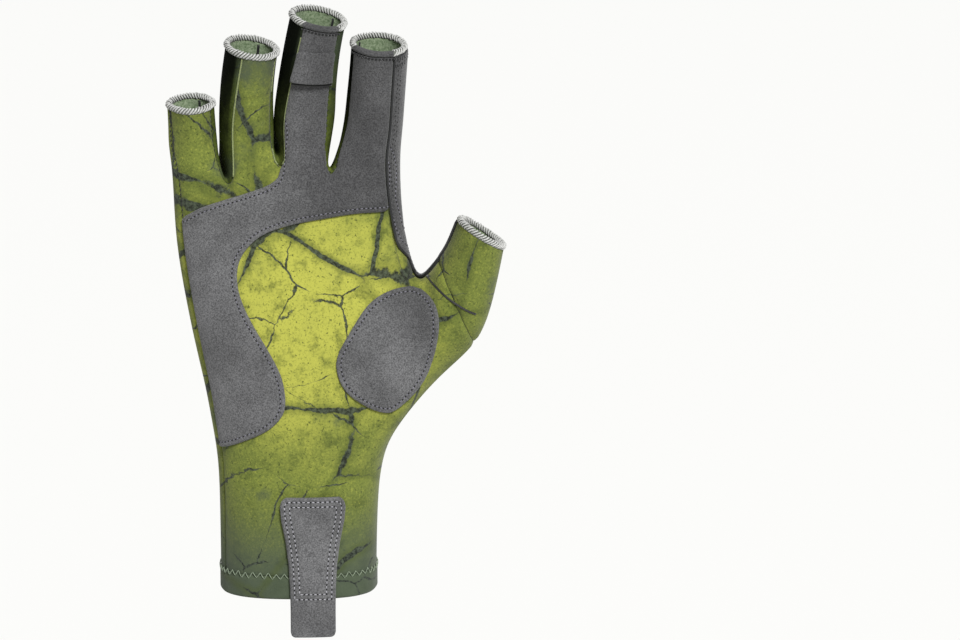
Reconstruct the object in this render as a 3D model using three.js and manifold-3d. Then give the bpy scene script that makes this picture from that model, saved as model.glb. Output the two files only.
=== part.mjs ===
// Fingerless fishing glove for the right hand, standing as if worn, with its cuff down.
//
// Frame: millimetres, +Z from the wrist to the fingertips, -Y out of the palm, +X to the thumb.
// The origin is the middle of the cuff's opening, where the hand goes in.
//
// The skin of the glove is one cage of quads, smoothed by Catmull-Clark subdivision so that the
// surface passes close by every point of the cage. Each piece of cloth is a set of the skin's faces
// with a thickness, pulled back from its seams by half a seam gap. The patches are further layers
// over the same skin, trimmed to outlines that are drawn on the XZ plane.

import * as THREE from "three";
import { mergeVertices } from "three/addons/utils/BufferGeometryUtils.js";
import Module from "manifold-3d";

const wasm = await Module();
wasm.setup();

// Sizes of the hand that the glove fits
const BODY_LENGTH = 180; // hem to the finger roots
const CUFF_WIDTH = 66;
const CUFF_DEPTH = 50;
const PALM_WIDTH = 95.6; // across the knuckles
const PALM_DEPTH = 33;
const THUMB_DEPTH = 26;

// Thicknesses and heights of the cloth pieces
const FABRIC = 1.2; // printed stretch knit
const SUEDE = 1.1; // grey microfibre of the patches
const GAP = 0.3; // clear space between two layers
const SEAM_INSET = 0.2; // how far a piece stays back from its seam line
const HEM_HEIGHT = 9.5;
const HEM_FOLD = 0.6; // how far the doubled hem stands out and in from the single cloth
const EDGE_HEIGHT = 2.8; // overlocked edge of a finger opening
const EDGE_DEPTH = 3.1; // the same edge from its inside to its outside
const BAND_HEIGHT = 13; // band across the front of the middle finger
const TAB = { length: 60, drop: 16, width: 27, thickness: 2, across: 7.2 };

const COLOURS = {
  print: { colour: 0x8f9a3d, roughness: 0.85 },
  dark: { colour: 0x2c361f, roughness: 0.88 },
  suede: { colour: 0x6a6a6a, roughness: 0.95 },
  overlock: { colour: 0xd9dad6, roughness: 0.8 },
  hem: { colour: 0x414b44, roughness: 0.88 },
};

const mix = THREE.MathUtils.lerp;
const radians = THREE.MathUtils.degToRad;
const smooth = (t) => THREE.MathUtils.smoothstep(t, 0, 1);

// Sections of the body from the hem to the knuckles. rise is a share of BODY_LENGTH. wide and thin run
// from 0 at the cuff's size to 1 at the palm's. shift moves a section towards the thumb and bulge
// moves it out of the palm, and thenar swells its front towards the thumb, all as shares of PALM_WIDTH.
const BODY_ROWS = [
  { rise: 0, wide: 0, thin: 0, shift: 0.005, bulge: 0, thenar: 0 },
  { rise: HEM_HEIGHT / BODY_LENGTH, wide: 0, thin: 0, shift: 0.005, bulge: 0, thenar: 0 },
  { rise: 0.2, wide: 0.03, thin: 0.1, shift: 0.008, bulge: 0, thenar: 0 },
  { rise: 0.311, wide: 0.14, thin: 0.3, shift: 0.018, bulge: 0.01, thenar: 0.01 },
  { rise: 0.4, wide: 0.455, thin: 0.55, shift: 0.044, bulge: 0.025, thenar: 0.035 },
  { rise: 0.494, wide: 0.763, thin: 0.7, shift: 0.061, bulge: 0.03, thenar: 0.065 },
  { rise: 0.6, wide: 0.969, thin: 0.85, shift: 0.049, bulge: 0.025, thenar: 0.065 },
  { rise: 0.744, wide: 1.061, thin: 1.1, shift: 0.013, bulge: 0.012, thenar: 0.03 },
  { rise: 0.86, wide: 0.95, thin: 1.44, shift: -0.031, bulge: 0.003, thenar: 0 },
];
const THUMB_FROM_ROW = 4; // the thumb grows out of the side between these two rows
const THUMB_TO_ROW = 7;

// Fingers in order. root, tip and sway place the middle line across the hand: where it starts, where
// it ends and how far it bows sideways on the way, as shares of PALM_WIDTH. foot is the height of the
// root as a share of BODY_LENGTH. Seams are angles round the finger: 0 straight out of the palm and
// 90 towards the thumb, in the order front left, front right, back right, back left. rings are the
// shares of the length that get a ring of the cage.
const FINGERS = [
  {
    name: "little", length: 29.6, width: 19.6, narrow: 0.95, foot: 0.983,
    root: -0.432, tip: -0.447, sway: -0.002,
    seams: [-70, 74, 150, 240], tipSeams: [-74, 74, 156, 240], rings: [0.4, 0.7],
  },
  {
    name: "ring", length: 49.4, width: 22.6, narrow: 0.96, foot: 1.008,
    root: -0.199, tip: -0.18, sway: -0.018,
    seams: [-34, 68, 148, 248], tipSeams: [-20, 78, 163, 258], rings: [0.27, 0.5, 0.74],
  },
  {
    name: "middle", length: 57.7, width: 25.2, narrow: 0.905, foot: 1.031,
    root: 0.037, tip: 0.109, sway: -0.015,
    seams: [-42, 48, 138, 244], tipSeams: [-31, 50, 140, 256], rings: [0.24, 0.45, 0.66, 0.84],
  },
  {
    name: "index", length: 49, width: 23.3, narrow: 0.955, foot: 1.017,
    root: 0.318, tip: 0.37, sway: 0.004,
    seams: [-60, 40, 134, 234], tipSeams: [-64, 36, 132, 234], rings: [0.26, 0.5, 0.75],
  },
];
const FINGER_DEPTH = 0.93; // depth of a finger as a share of its width
const ROOT_PITCH = 3; // degrees that the fingers lean towards the palm at their roots
const FINGER_BEND = 13; // further degrees of lean that a finger gains up to its tip

// Crotches between the fingers, with the two outer sides of the hand at the ends of the list. Heights
// are shares of BODY_LENGTH and places across are shares of PALM_WIDTH, each at the front and the back.
const CROTCHES = [
  { frontUp: 0.98, backUp: 0.98, frontAcross: -0.532, backAcross: -0.532 },
  { frontUp: 0.985, backUp: 0.98, frontAcross: -0.286, backAcross: -0.366 },
  { frontUp: 1.027, backUp: 1.044, frontAcross: -0.058, backAcross: -0.128 },
  { frontUp: 1.012, backUp: 0.998, frontAcross: 0.164, backAcross: 0.152 },
  { frontUp: 1.0, backUp: 1.01, frontAcross: 0.45, backAcross: 0.45 },
];
const CROTCH_WIDTH = 3.4; // clear space between two fingers at their roots
const LITTLE_TURN = 2.4; // how far the outer seam lies in from the little finger's side of the hand
const INDEX_TURN = 5; // and from the index finger's side
const ROOT_DEPTH = 0.89; // depth of a finger's root as a share of the finger's width
const ROOT_SWELL = 0.05; // extra width of a finger next to its root, as a share
const ROOT_RISE = 0.7; // how far a root bulges in the middle of its front and back

// Rings of the thumb beyond its hole in the body. Outer is the side away from the index finger and
// inner the side next to it, across as shares of PALM_WIDTH and up as shares of BODY_LENGTH. deep and
// forward are shares of THUMB_DEPTH.
const THUMB_ROWS = [
  { outerAcross: 0.632, outerUp: 0.508, innerAcross: 0.574, innerUp: 0.752, deep: 1.22, forward: 0.15 },
  { outerAcross: 0.788, outerUp: 0.594, innerAcross: 0.624, innerUp: 0.786, deep: 1.12, forward: 0.31 },
  { outerAcross: 0.864, outerUp: 0.7, innerAcross: 0.67, innerUp: 0.826, deep: 1, forward: 0.44 },
  { outerAcross: 0.912, outerUp: 0.822, innerAcross: 0.714, innerUp: 0.886, deep: 0.91, forward: 0.58 },
];
const THUMB_SEAM_ROW = 2; // the sleeve starts at this row of faces

// Outlines of the patches as seen from the front, as shares of PALM_WIDTH across and BODY_LENGTH up
const GRIP_OUTLINE = [
  { across: -0.62, up: 0.875 },
  { across: -0.5, up: 0.885 },
  { across: -0.41, up: 0.911 },
  { across: -0.296, up: 0.932 },
  { across: -0.187, up: 0.951 },
  { across: -0.109, up: 0.967 },
  { across: -0.066, up: 0.986 },
  { across: -0.055, up: 1.03 },
  { across: -0.055, up: 1.12 },
  { across: -0.3, up: 1.2 },
  { across: -0.3, up: 1.5 },
  { across: 0.6, up: 1.5 },
  { across: 0.6, up: 0.91 },
  { across: 0.395, up: 0.902 },
  { across: 0.266, up: 0.899 },
  { across: 0.113, up: 0.887 },
  { across: -0.035, up: 0.871 },
  { across: -0.147, up: 0.847 },
  { across: -0.213, up: 0.814 },
  { across: -0.244, up: 0.779 },
  { across: -0.244, up: 0.729 },
  { across: -0.213, up: 0.68 },
  { across: -0.17, up: 0.636 },
  { across: -0.112, up: 0.585 },
  { across: -0.056, up: 0.525 },
  { across: -0.039, up: 0.468 },
  { across: -0.052, up: 0.436 },
  { across: -0.109, up: 0.403 },
  { across: -0.213, up: 0.374 },
  { across: -0.326, up: 0.351 },
  { across: -0.62, up: 0.32 },
];
const HEEL_OUTLINE = [
  { across: 0.183, up: 0.56 },
  { across: 0.244, up: 0.63 },
  { across: 0.343, up: 0.702 },
  { across: 0.452, up: 0.727 },
  { across: 0.547, up: 0.724 },
  { across: 0.61, up: 0.698 },
  { across: 0.631, up: 0.654 },
  { across: 0.613, up: 0.584 },
  { across: 0.561, up: 0.513 },
  { across: 0.474, up: 0.459 },
  { across: 0.409, up: 0.44 },
  { across: 0.3, up: 0.461 },
  { across: 0.213, up: 0.501 },
];
const GUARD_OUTLINE = [
  { across: 0.8, up: 0.96 },
  { across: 0.779, up: 0.893 },
  { across: 0.762, up: 0.851 },
  { across: 0.748, up: 0.806 },
  { across: 0.726, up: 0.763 },
  { across: 0.709, up: 0.716 },
  { across: 0.682, up: 0.676 },
  { across: 0.639, up: 0.65 },
  { across: 0.574, up: 0.641 },
  { across: 0.508, up: 0.648 },
  { across: 0.46, up: 0.669 },
  { across: 0.439, up: 0.707 },
  { across: 0.428, up: 0.749 },
  { across: 0.415, up: 0.806 },
  { across: 0.39, up: 0.9 },
  { across: 0.385, up: 1.03 },
  { across: 0.3, up: 1.12 },
  { across: 0.2, up: 1.5 },
  { across: 0.8, up: 1.5 },
];
// What the guard leaves bare at the front, from the index finger's seam down to the thumb's crotch
const GUARD_FRONT_CUT = [
  { across: 0.395, up: 0.917 },
  { across: 0.419, up: 0.856 },
  { across: 0.445, up: 0.822 },
  { across: 0.484, up: 0.794 },
  { across: 0.513, up: 0.769 },
  { across: 0.528, up: 0.755 },
  { across: 0.528, up: 0.7 },
  { across: 0.3, up: 0.7 },
  { across: 0.3, up: 0.917 },
];
const GUARD_SIDE = -1.5; // how far towards the palm that bare part starts
const BAND_FOOT = 1.21; // height of the finger band's lower edge, a share of BODY_LENGTH
const BAND_TILT = 2; // degrees that the band leans to the thumb with its finger

// Half widths of the pull tab down its length, as shares of half its width
const TAB_SHAPE = [
  { down: 0, half: 0.8 },
  { down: 0.025, half: 0.94 },
  { down: 0.07, half: 1 },
  { down: 0.17, half: 0.96 },
  { down: 0.32, half: 0.83 },
  { down: 0.48, half: 0.74 },
  { down: 0.64, half: 0.7 },
  { down: 0.8, half: 0.69 },
  { down: 0.96, half: 0.69 },
  { down: 0.99, half: 0.66 },
  { down: 1, half: 0.58 },
];

// A surface of quads with shared corners

class Skin {
  constructor(points = [], faces = []) {
    this.points = points;
    this.faces = faces;
  }

  addPoint(point) {
    this.points.push(point);
    return this.points.length - 1;
  }

  addFace(ring, tag) {
    this.faces.push({ ring, tag });
  }

  // Joins two rings of equally many points. A column without a tag is left open.
  addTube(lower, upper, tagOf) {
    lower.forEach((corner, column) => {
      const next = (column + 1) % lower.length;
      const tag = tagOf(column);
      if (tag) this.addFace([corner, lower[next], upper[next], upper[column]], tag);
    });
  }

  edges() {
    const found = new Map();
    this.faces.forEach(({ ring }, face) => {
      ring.forEach((a, k) => {
        const b = ring[(k + 1) % ring.length];
        const key = edgeKey(a, b);
        if (!found.has(key)) found.set(key, { a, b, faces: [] });
        found.get(key).faces.push(face);
      });
    });
    return found;
  }

  // Where each point comes to lie once the skin has been subdivided without end
  limitPoints() {
    const sums = this.points.map(() => ({ near: new THREE.Vector3(), far: new THREE.Vector3(), count: 0 }));
    const rims = this.points.map(() => []);
    for (const { a, b, faces } of this.edges().values()) {
      for (const [from, to] of [[a, b], [b, a]]) {
        sums[from].near.add(this.points[to]);
        sums[from].count++;
        if (faces.length === 1) rims[from].push(this.points[to]);
      }
    }
    for (const { ring } of this.faces) {
      ring.forEach((corner, k) => sums[corner].far.add(this.points[ring[(k + 2) % 4]]));
    }
    return this.points.map((point, i) => {
      const limit = new THREE.Vector3();
      if (rims[i].length) {
        limit.add(rims[i][0]).add(rims[i][1]).addScaledVector(point, 4);
        return limit.divideScalar(6);
      }
      const { near, far, count } = sums[i];
      limit.addScaledVector(point, count * count).addScaledVector(near, 4).add(far);
      return limit.divideScalar(count * (count + 5));
    });
  }

  // The cage whose smooth surface passes close by the points of this one
  fitted(rounds = 2) {
    const cage = new Skin(this.points.map((point) => point.clone()), this.faces);
    for (let round = 0; round < rounds; round++) {
      const limit = cage.limitPoints();
      cage.points.forEach((point, i) => point.add(this.points[i]).sub(limit[i]));
    }
    return cage;
  }

  // One step of Catmull-Clark subdivision
  subdivided() {
    const next = new Skin();
    const middleOf = (corners) => {
      const middle = new THREE.Vector3();
      corners.forEach((corner) => middle.add(corner));
      return middle.divideScalar(corners.length);
    };
    const faceIds = this.faces.map(({ ring }) => next.addPoint(middleOf(ring.map((v) => this.points[v]))));
    const edges = this.edges();
    const sums = this.points.map(() => ({ faces: new THREE.Vector3(), mids: new THREE.Vector3(), count: 0 }));
    const rims = this.points.map(() => []);
    for (const edge of edges.values()) {
      const middle = middleOf([this.points[edge.a], this.points[edge.b]]);
      const onRim = edge.faces.length === 1;
      for (const v of [edge.a, edge.b]) {
        sums[v].mids.add(middle);
        sums[v].count++;
        if (onRim) rims[v].push(middle);
      }
      const beside = middleOf(edge.faces.map((face) => next.points[faceIds[face]]));
      edge.id = next.addPoint(onRim ? middle : middleOf([middle, beside]));
    }
    this.faces.forEach(({ ring }, face) => {
      ring.forEach((v) => sums[v].faces.add(next.points[faceIds[face]]));
    });
    const cornerIds = this.points.map((point, i) => {
      const { faces, mids, count } = sums[i];
      const moved = new THREE.Vector3();
      if (rims[i].length) {
        moved.add(rims[i][0]).add(rims[i][1]).addScaledVector(point, 2).divideScalar(4);
      } else {
        moved.addScaledVector(faces, 1 / count).addScaledVector(mids, 2 / count);
        moved.addScaledVector(point, count - 3).divideScalar(count);
      }
      return next.addPoint(moved);
    });
    this.faces.forEach(({ ring, tag }, face) => {
      ring.forEach((v, k) => {
        const after = edges.get(edgeKey(v, ring[(k + 1) % 4])).id;
        const before = edges.get(edgeKey(ring[(k + 3) % 4], v)).id;
        next.addFace([cornerIds[v], after, faceIds[face], before], tag);
      });
    });
    return next;
  }

  normals() {
    const found = this.points.map(() => new THREE.Vector3());
    for (const { ring } of this.faces) {
      const [a, b, c, d] = ring.map((v) => this.points[v]);
      const normal = new THREE.Vector3().crossVectors(c.clone().sub(a), d.clone().sub(b));
      ring.forEach((v) => found[v].add(normal));
    }
    return found.map((normal) => normal.normalize());
  }
}

function edgeKey(a, b) {
  return a < b ? a + "_" + b : b + "_" + a;
}

// Cage of the glove

const FRONT_COLUMNS = 3 * FINGERS.length - 1; // columns of faces across the front of the body
const SIDE = FRONT_COLUMNS + 2; // index in a body ring of the point on the thumb's side
const SQUARENESS = 2.5; // exponent of a body section: 2 is an ellipse and more is boxier
const SEAM_SHARE = 0.935; // how far out the outer front seams lie, as a share of half the width

// The eight points of a finger ring: left side, three in front, right side and three behind
function fingerRing(finger, share) {
  const from = radians(ROOT_PITCH);
  const pitch = from + radians(FINGER_BEND) * share;
  const radius = finger.length / radians(FINGER_BEND);
  const across = mix(finger.root, finger.tip, share) + 4 * finger.sway * share * (1 - share);
  const middle = new THREE.Vector3(
    across * PALM_WIDTH,
    -radius * (Math.cos(from) - Math.cos(pitch)),
    finger.foot * BODY_LENGTH + radius * (Math.sin(pitch) - Math.sin(from)),
  );
  const lean = ((finger.tip - finger.root + 4 * finger.sway * (1 - 2 * share)) * PALM_WIDTH) / finger.length;
  const axis = new THREE.Vector3(lean, -Math.sin(pitch), Math.cos(pitch)).normalize();
  const right = new THREE.Vector3(1, 0, 0).addScaledVector(axis, -axis.x).normalize();
  const behind = new THREE.Vector3().crossVectors(axis, right);
  const swell = 1 + ROOT_SWELL * Math.pow(1 - share, 4);
  const half = (finger.width / 2) * mix(1, finger.narrow, smooth(share)) * swell;
  const [frontLeft, frontRight, backRight, backLeft] = finger.seams.map((angle, k) =>
    mix(angle, finger.tipSeams[k], smooth(share)),
  );
  const angles = [
    (backLeft + frontLeft + 360) / 2,
    frontLeft,
    (frontLeft + frontRight) / 2,
    frontRight,
    (frontRight + backRight) / 2,
    backRight,
    (backRight + backLeft) / 2,
    backLeft,
  ];
  return angles.map((angle) =>
    middle
      .clone()
      .addScaledVector(right, half * Math.sin(radians(angle)))
      .addScaledVector(behind, -half * FINGER_DEPTH * Math.cos(radians(angle))),
  );
}

// The same eight points where a finger meets the body, held between its two crotches
function rootRing(finger, f) {
  const depth = (finger.width * ROOT_DEPTH) / 2;
  const [left, right] = [CROTCHES[f], CROTCHES[f + 1]];
  const isOuter = (crotch) => crotch === CROTCHES[0] || crotch === CROTCHES.at(-1);
  const at = (crotch, inward, through, y) => {
    const turn = crotch === CROTCHES[0] ? LITTLE_TURN : INDEX_TURN;
    const outerInset = through === 0.5 ? 0 : turn;
    const inset = isOuter(crotch) ? outerInset : CROTCH_WIDTH / 2;
    const across = mix(crotch.frontAcross, crotch.backAcross, through) * PALM_WIDTH;
    const up = mix(crotch.frontUp, crotch.backUp, through) * BODY_LENGTH;
    return new THREE.Vector3(across + inward * inset, y, up);
  };
  const frontLeft = at(left, 1, 0, -depth);
  const frontRight = at(right, -1, 0, -depth);
  const backLeft = at(left, 1, 1, depth);
  const backRight = at(right, -1, 1, depth);
  const between = (a, b) => a.clone().lerp(b, 0.5);
  return [
    at(left, 1, 0.5, 0),
    frontLeft,
    between(frontLeft, frontRight).add(new THREE.Vector3(0, -ROOT_RISE, 0)),
    frontRight,
    at(right, -1, 0.5, 0),
    backRight,
    between(backRight, backLeft).add(new THREE.Vector3(0, ROOT_RISE, 0)),
    backLeft,
  ];
}

// Points of a body section. Their spacing goes from even at the hem to that of the finger roots.
function bodyRing(row, roots) {
  const halfWidth = mix(CUFF_WIDTH, PALM_WIDTH, row.wide) / 2;
  const halfDepth = mix(CUFF_DEPTH, PALM_DEPTH, row.thin) / 2;
  const middle = new THREE.Vector3(row.shift, -row.bulge, 0).multiplyScalar(PALM_WIDTH);
  middle.z = row.rise * BODY_LENGTH;
  const at = (share, side) => {
    const depth = Math.pow(1 - Math.pow(Math.abs(share), SQUARENESS), 1 / SQUARENESS);
    const swell = side < 0 && share > 0 ? row.thenar * PALM_WIDTH * share * share : 0;
    return middle.clone().add(new THREE.Vector3(share * halfWidth, side * depth * halfDepth - swell, 0));
  };
  const sharesOf = (spread) => {
    const [first, last] = [spread[0], spread.at(-1)];
    return spread.map((x, k) => {
      const even = mix(-SEAM_SHARE, SEAM_SHARE, k / FRONT_COLUMNS);
      const rooted = mix(-SEAM_SHARE, SEAM_SHARE, (x - first) / (last - first));
      return mix(even, rooted, smooth(row.rise));
    });
  };
  const front = sharesOf(roots.flatMap((ring) => ring.slice(1, 4).map((p) => p.x)));
  const back = sharesOf(roots.flatMap((ring) => ring.slice(5, 8).reverse().map((p) => p.x)));
  return [at(-1, 0), ...front.map((s) => at(s, -1)), at(1, 0), ...back.reverse().map((s) => at(s, 1))];
}

function thumbRing(row, size) {
  const outer = new THREE.Vector3(row.outerAcross * PALM_WIDTH, 0, row.outerUp * BODY_LENGTH);
  const inner = new THREE.Vector3(row.innerAcross * PALM_WIDTH, 0, row.innerUp * BODY_LENGTH);
  const middle = outer.clone().lerp(inner, 0.5);
  middle.y -= row.forward * THUMB_DEPTH;
  const reach = outer.clone().sub(inner).divideScalar(2);
  return Array.from({ length: size }, (_, k) => {
    const angle = (2 * Math.PI * k) / size;
    const point = middle.clone().addScaledVector(reach, Math.cos(angle));
    point.y += (Math.sin(angle) * row.deep * THUMB_DEPTH) / 2;
    return point;
  });
}

const FINGER_SIDES = ["left", "front", "front", "right", "right", "back", "back", "left"];

function buildCage() {
  const cage = new Skin();
  const keep = (ring) => ring.map((point) => cage.addPoint(point));
  const roots = FINGERS.map(rootRing);
  const rootIds = roots.map(keep);

  const isThumbHole = (r) => r > THUMB_FROM_ROW && r < THUMB_TO_ROW;
  const body = BODY_ROWS.map((row, r) =>
    bodyRing(row, roots).map((point, k) => (k === SIDE && isThumbHole(r) ? null : cage.addPoint(point))),
  );
  body.push([
    rootIds[0][0],
    ...rootIds.flatMap((ring) => ring.slice(1, 4)),
    rootIds.at(-1)[4],
    ...rootIds.toReversed().flatMap((ring) => ring.slice(5, 8)),
  ]);
  for (let row = 0; row < body.length - 1; row++) {
    const besideHole = row >= THUMB_FROM_ROW && row < THUMB_TO_ROW;
    cage.addTube(body[row], body[row + 1], (column) => {
      const open = besideHole && (column === SIDE - 1 || column === SIDE);
      return open ? null : { part: "body", row, column };
    });
  }

  const [low, high] = [THUMB_FROM_ROW, THUMB_TO_ROW];
  const hole = [body[low][SIDE]];
  for (let r = low; r <= high; r++) hole.push(body[r][SIDE + 1]);
  hole.push(body[high][SIDE]);
  for (let r = high; r >= low; r--) hole.push(body[r][SIDE - 1]);
  let below = hole;
  THUMB_ROWS.forEach((row, r) => {
    const ring = keep(thumbRing(row, hole.length));
    cage.addTube(below, ring, (column) => ({ part: "thumb", row: r, column }));
    below = ring;
  });

  FINGERS.forEach((finger, f) => {
    let lower = rootIds[f];
    [...finger.rings, 1].forEach((share) => {
      const ring = keep(fingerRing(finger, share));
      cage.addTube(lower, ring, (column) => ({ part: finger.name, finger: f, side: FINGER_SIDES[column] }));
      lower = ring;
    });
    if (f === 0) return;
    const [before, here] = [rootIds[f - 1], rootIds[f]];
    cage.addFace([before[3], here[1], here[0], before[4]], { part: "web", web: f - 1 });
    cage.addFace([before[4], here[0], here[7], before[5]], { part: "web", web: f - 1 });
  });
  return cage;
}

// Cloth made from the skin

const skin = buildCage().fitted().subdivided();
const skinNormals = skin.normals();

// Inward directions, within the cloth, at the points on the border of a set of faces
function borderOf(faces) {
  const directed = new Map();
  for (const { ring } of faces) {
    ring.forEach((a, k) => {
      const b = ring[(k + 1) % ring.length];
      const key = edgeKey(a, b);
      directed.set(key, directed.has(key) ? null : { a, b });
    });
  }
  const edges = [...directed.values()].filter(Boolean);
  const inward = new Map();
  for (const { a, b } of edges) {
    const along = skin.points[b].clone().sub(skin.points[a]).normalize();
    for (const v of [a, b]) {
      const side = new THREE.Vector3().crossVectors(skinNormals[v], along).normalize();
      if (!inward.has(v)) inward.set(v, []);
      inward.get(v).push(side);
    }
  }
  return { edges, inward };
}

function toManifold(geometry) {
  for (const name of ["normal", "uv"]) geometry.deleteAttribute(name);
  const merged = mergeVertices(geometry, 1e-4);
  const mesh = { numProp: 3, vertProperties: merged.attributes.position.array, triVerts: merged.index.array };
  mesh.vertProperties = new Float32Array(mesh.vertProperties);
  mesh.triVerts = new Uint32Array(mesh.triVerts);
  return new wasm.Manifold(new wasm.Mesh(mesh));
}

function fromManifold(solid) {
  const { numProp, vertProperties, triVerts } = solid.getMesh();
  const geometry = new THREE.BufferGeometry();
  const positions = [];
  for (let k = 0; k < vertProperties.length; k += numProp) positions.push(...vertProperties.slice(k, k + 3));
  geometry.setAttribute("position", new THREE.Float32BufferAttribute(positions, 3));
  geometry.setIndex([...triVerts]);
  return geometry;
}

// The faces that a test picks, as cloth between two heights over the skin
function thicken(picks, low, high, inset = SEAM_INSET) {
  const faces = skin.faces.filter(({ tag }) => picks(tag));
  const { edges, inward } = borderOf(faces);
  const ids = new Map();
  const positions = [];
  const place = (v, height) => {
    const point = skin.points[v].clone();
    const sides = inward.get(v);
    if (sides) {
      const [one, two] = [sides[0], sides[1] ?? sides[0]];
      point.addScaledVector(one.clone().add(two), inset / Math.max(0.4, 1 + one.dot(two)));
    }
    point.addScaledVector(skinNormals[v], height);
    positions.push(point.x, point.y, point.z);
  };
  for (const { ring } of faces) {
    for (const v of ring) {
      if (ids.has(v)) continue;
      ids.set(v, ids.size);
      place(v, high);
      place(v, low);
    }
  }
  const index = [];
  const outer = (v) => 2 * ids.get(v);
  const inner = (v) => 2 * ids.get(v) + 1;
  for (const { ring: [a, b, c, d] } of faces) {
    index.push(outer(a), outer(b), outer(c), outer(a), outer(c), outer(d));
    index.push(inner(a), inner(c), inner(b), inner(a), inner(d), inner(c));
  }
  for (const { a, b } of edges) {
    index.push(outer(b), outer(a), inner(a), outer(b), inner(a), inner(b));
  }
  const geometry = new THREE.BufferGeometry();
  geometry.setAttribute("position", new THREE.Float32BufferAttribute(positions, 3));
  geometry.setIndex(index);
  return geometry;
}

// A solid through the hand, from an outline on the XZ plane, which ends at the back at this depth
function outlinePrism(outline, back = PALM_WIDTH) {
  const corners = outline.map(({ across, up }) => new THREE.Vector2(across * PALM_WIDTH, up * BODY_LENGTH));
  const shape = new THREE.Shape(corners);
  const geometry = new THREE.ExtrudeGeometry(shape, { depth: PALM_WIDTH + back, bevelEnabled: false });
  geometry.rotateX(Math.PI / 2);
  geometry.translate(0, back, 0);
  return toManifold(geometry);
}

// The outline with further points on smooth curves between its corners
function rounded(outline, steps) {
  const curve = new THREE.CatmullRomCurve3(
    outline.map(({ across, up }) => new THREE.Vector3(across, up, 0)),
    true,
    "centripetal",
  );
  return curve.getPoints(steps * outline.length).slice(0, -1).map((p) => ({ across: p.x, up: p.y }));
}

function patch(picks, low, outline) {
  const layer = toManifold(thicken(picks, low, low + SUEDE));
  return layer.intersect(outlinePrism(outline));
}

const isFourchetteSide = (tag) =>
  (tag.side === "left" && tag.finger > 0) || (tag.side === "right" && tag.finger < FINGERS.length - 1);
const HALF_THUMB = 5; // thumb columns below this one lie at the back
const ROOT_ROW = BODY_ROWS.length - 1; // the row of faces just below the fingers
const LAST_OUTER_COLUMN = 6; // front columns up to this one lie below the little and ring fingers

// The piece of shell cloth that a face of the skin belongs to
function clothOf(tag) {
  if (tag.part === "web") return FINGERS[tag.web].name + "_" + FINGERS[tag.web + 1].name + "_fourchette";
  if (tag.part === "thumb") {
    if (tag.row >= THUMB_SEAM_ROW) return "thumb_sleeve";
    return tag.column < HALF_THUMB ? "back_panel" : "palm_panel";
  }
  if (tag.part === "body") {
    if (tag.row === 0) return "cuff_hem";
    const sideFront = tag.column === SIDE - 1 && tag.row < THUMB_FROM_ROW;
    const front = tag.column > 0 && tag.column < SIDE - 1;
    if (front && tag.row === ROOT_ROW && tag.column <= LAST_OUTER_COLUMN) return "ring_little_front";
    return front || sideFront ? "palm_panel" : "back_panel";
  }
  if (tag.side === "front") return tag.finger < 2 ? "ring_little_front" : "palm_panel";
  if (tag.side === "back" || !isFourchetteSide(tag)) return "back_panel";
  const first = tag.side === "left" ? tag.finger - 1 : tag.finger;
  return FINGERS[first].name + "_" + FINGERS[first + 1].name + "_fourchette";
}

const glove = new THREE.Group();
glove.name = "fishing_glove";

function addPiece(name, geometry, look) {
  const { colour, roughness } = COLOURS[look];
  const material = new THREE.MeshStandardMaterial({ color: colour, roughness, metalness: 0 });
  const mesh = new THREE.Mesh(geometry, material);
  mesh.name = name;
  glove.add(mesh);
  return mesh;
}

// Shell

const SHELL = ["back_panel", "palm_panel", "ring_little_front", "thumb_sleeve"];
for (const name of SHELL) addPiece(name, thicken((tag) => clothOf(tag) === name, -FABRIC, 0), "print");
FINGERS.slice(1).forEach((finger, f) => {
  const name = FINGERS[f].name + "_" + finger.name + "_fourchette";
  addPiece(name, thicken((tag) => clothOf(tag) === name, -FABRIC, 0), "dark");
});
addPiece("cuff_hem", thicken((tag) => clothOf(tag) === "cuff_hem", -FABRIC - HEM_FOLD, HEM_FOLD), "hem");

// Patches

const isGripFinger = (tag) => (tag.part === "middle" || tag.part === "index") && tag.side === "front";
const onFront = (tag) => tag.part === "body" && tag.row > 0 && tag.column > 0 && tag.column < SIDE - 1;
const onThumbFront = (tag) => tag.part === "thumb" && tag.row < THUMB_SEAM_ROW && tag.column > HALF_THUMB;
const isGuarded = (tag) => {
  if (tag.part === "index") return tag.side === "right";
  if (tag.part === "thumb") return tag.column > 0 && tag.column < HALF_THUMB;
  if (tag.part !== "body" || tag.row < THUMB_FROM_ROW) return false;
  return tag.column >= SIDE - 1 && tag.column <= SIDE + 2;
};

const isGripped = (tag) => onFront(tag) || isGripFinger(tag);
const isHeel = (tag) => onFront(tag) || onThumbFront(tag);
addPiece("palm_grip", fromManifold(patch(isGripped, GAP, rounded(GRIP_OUTLINE, 2))), "suede");
addPiece("thumb_heel_pad", fromManifold(patch(isHeel, GAP, rounded(HEEL_OUTLINE, 3))), "suede");
const frontCut = outlinePrism(GUARD_FRONT_CUT, GUARD_SIDE);
const guard = patch(isGuarded, GAP, rounded(GUARD_OUTLINE, 2)).subtract(frontCut);
addPiece("thumb_guard", fromManifold(guard), "suede");

const tilt = Math.tan(radians(BAND_TILT)) * (PALM_WIDTH / BODY_LENGTH);
const bandCorner = (across, rise) => ({ across, up: BAND_FOOT + rise / BODY_LENGTH - tilt * across });
const BAND_OUTLINE = [
  bandCorner(-0.3, 0),
  bandCorner(0.5, 0),
  bandCorner(0.5, BAND_HEIGHT),
  bandCorner(-0.3, BAND_HEIGHT),
];
const isBand = (tag) => tag.part === "middle" && tag.side === "front";
addPiece("middle_finger_band", fromManifold(patch(isBand, SUEDE + 2 * GAP, BAND_OUTLINE)), "suede");

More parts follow.
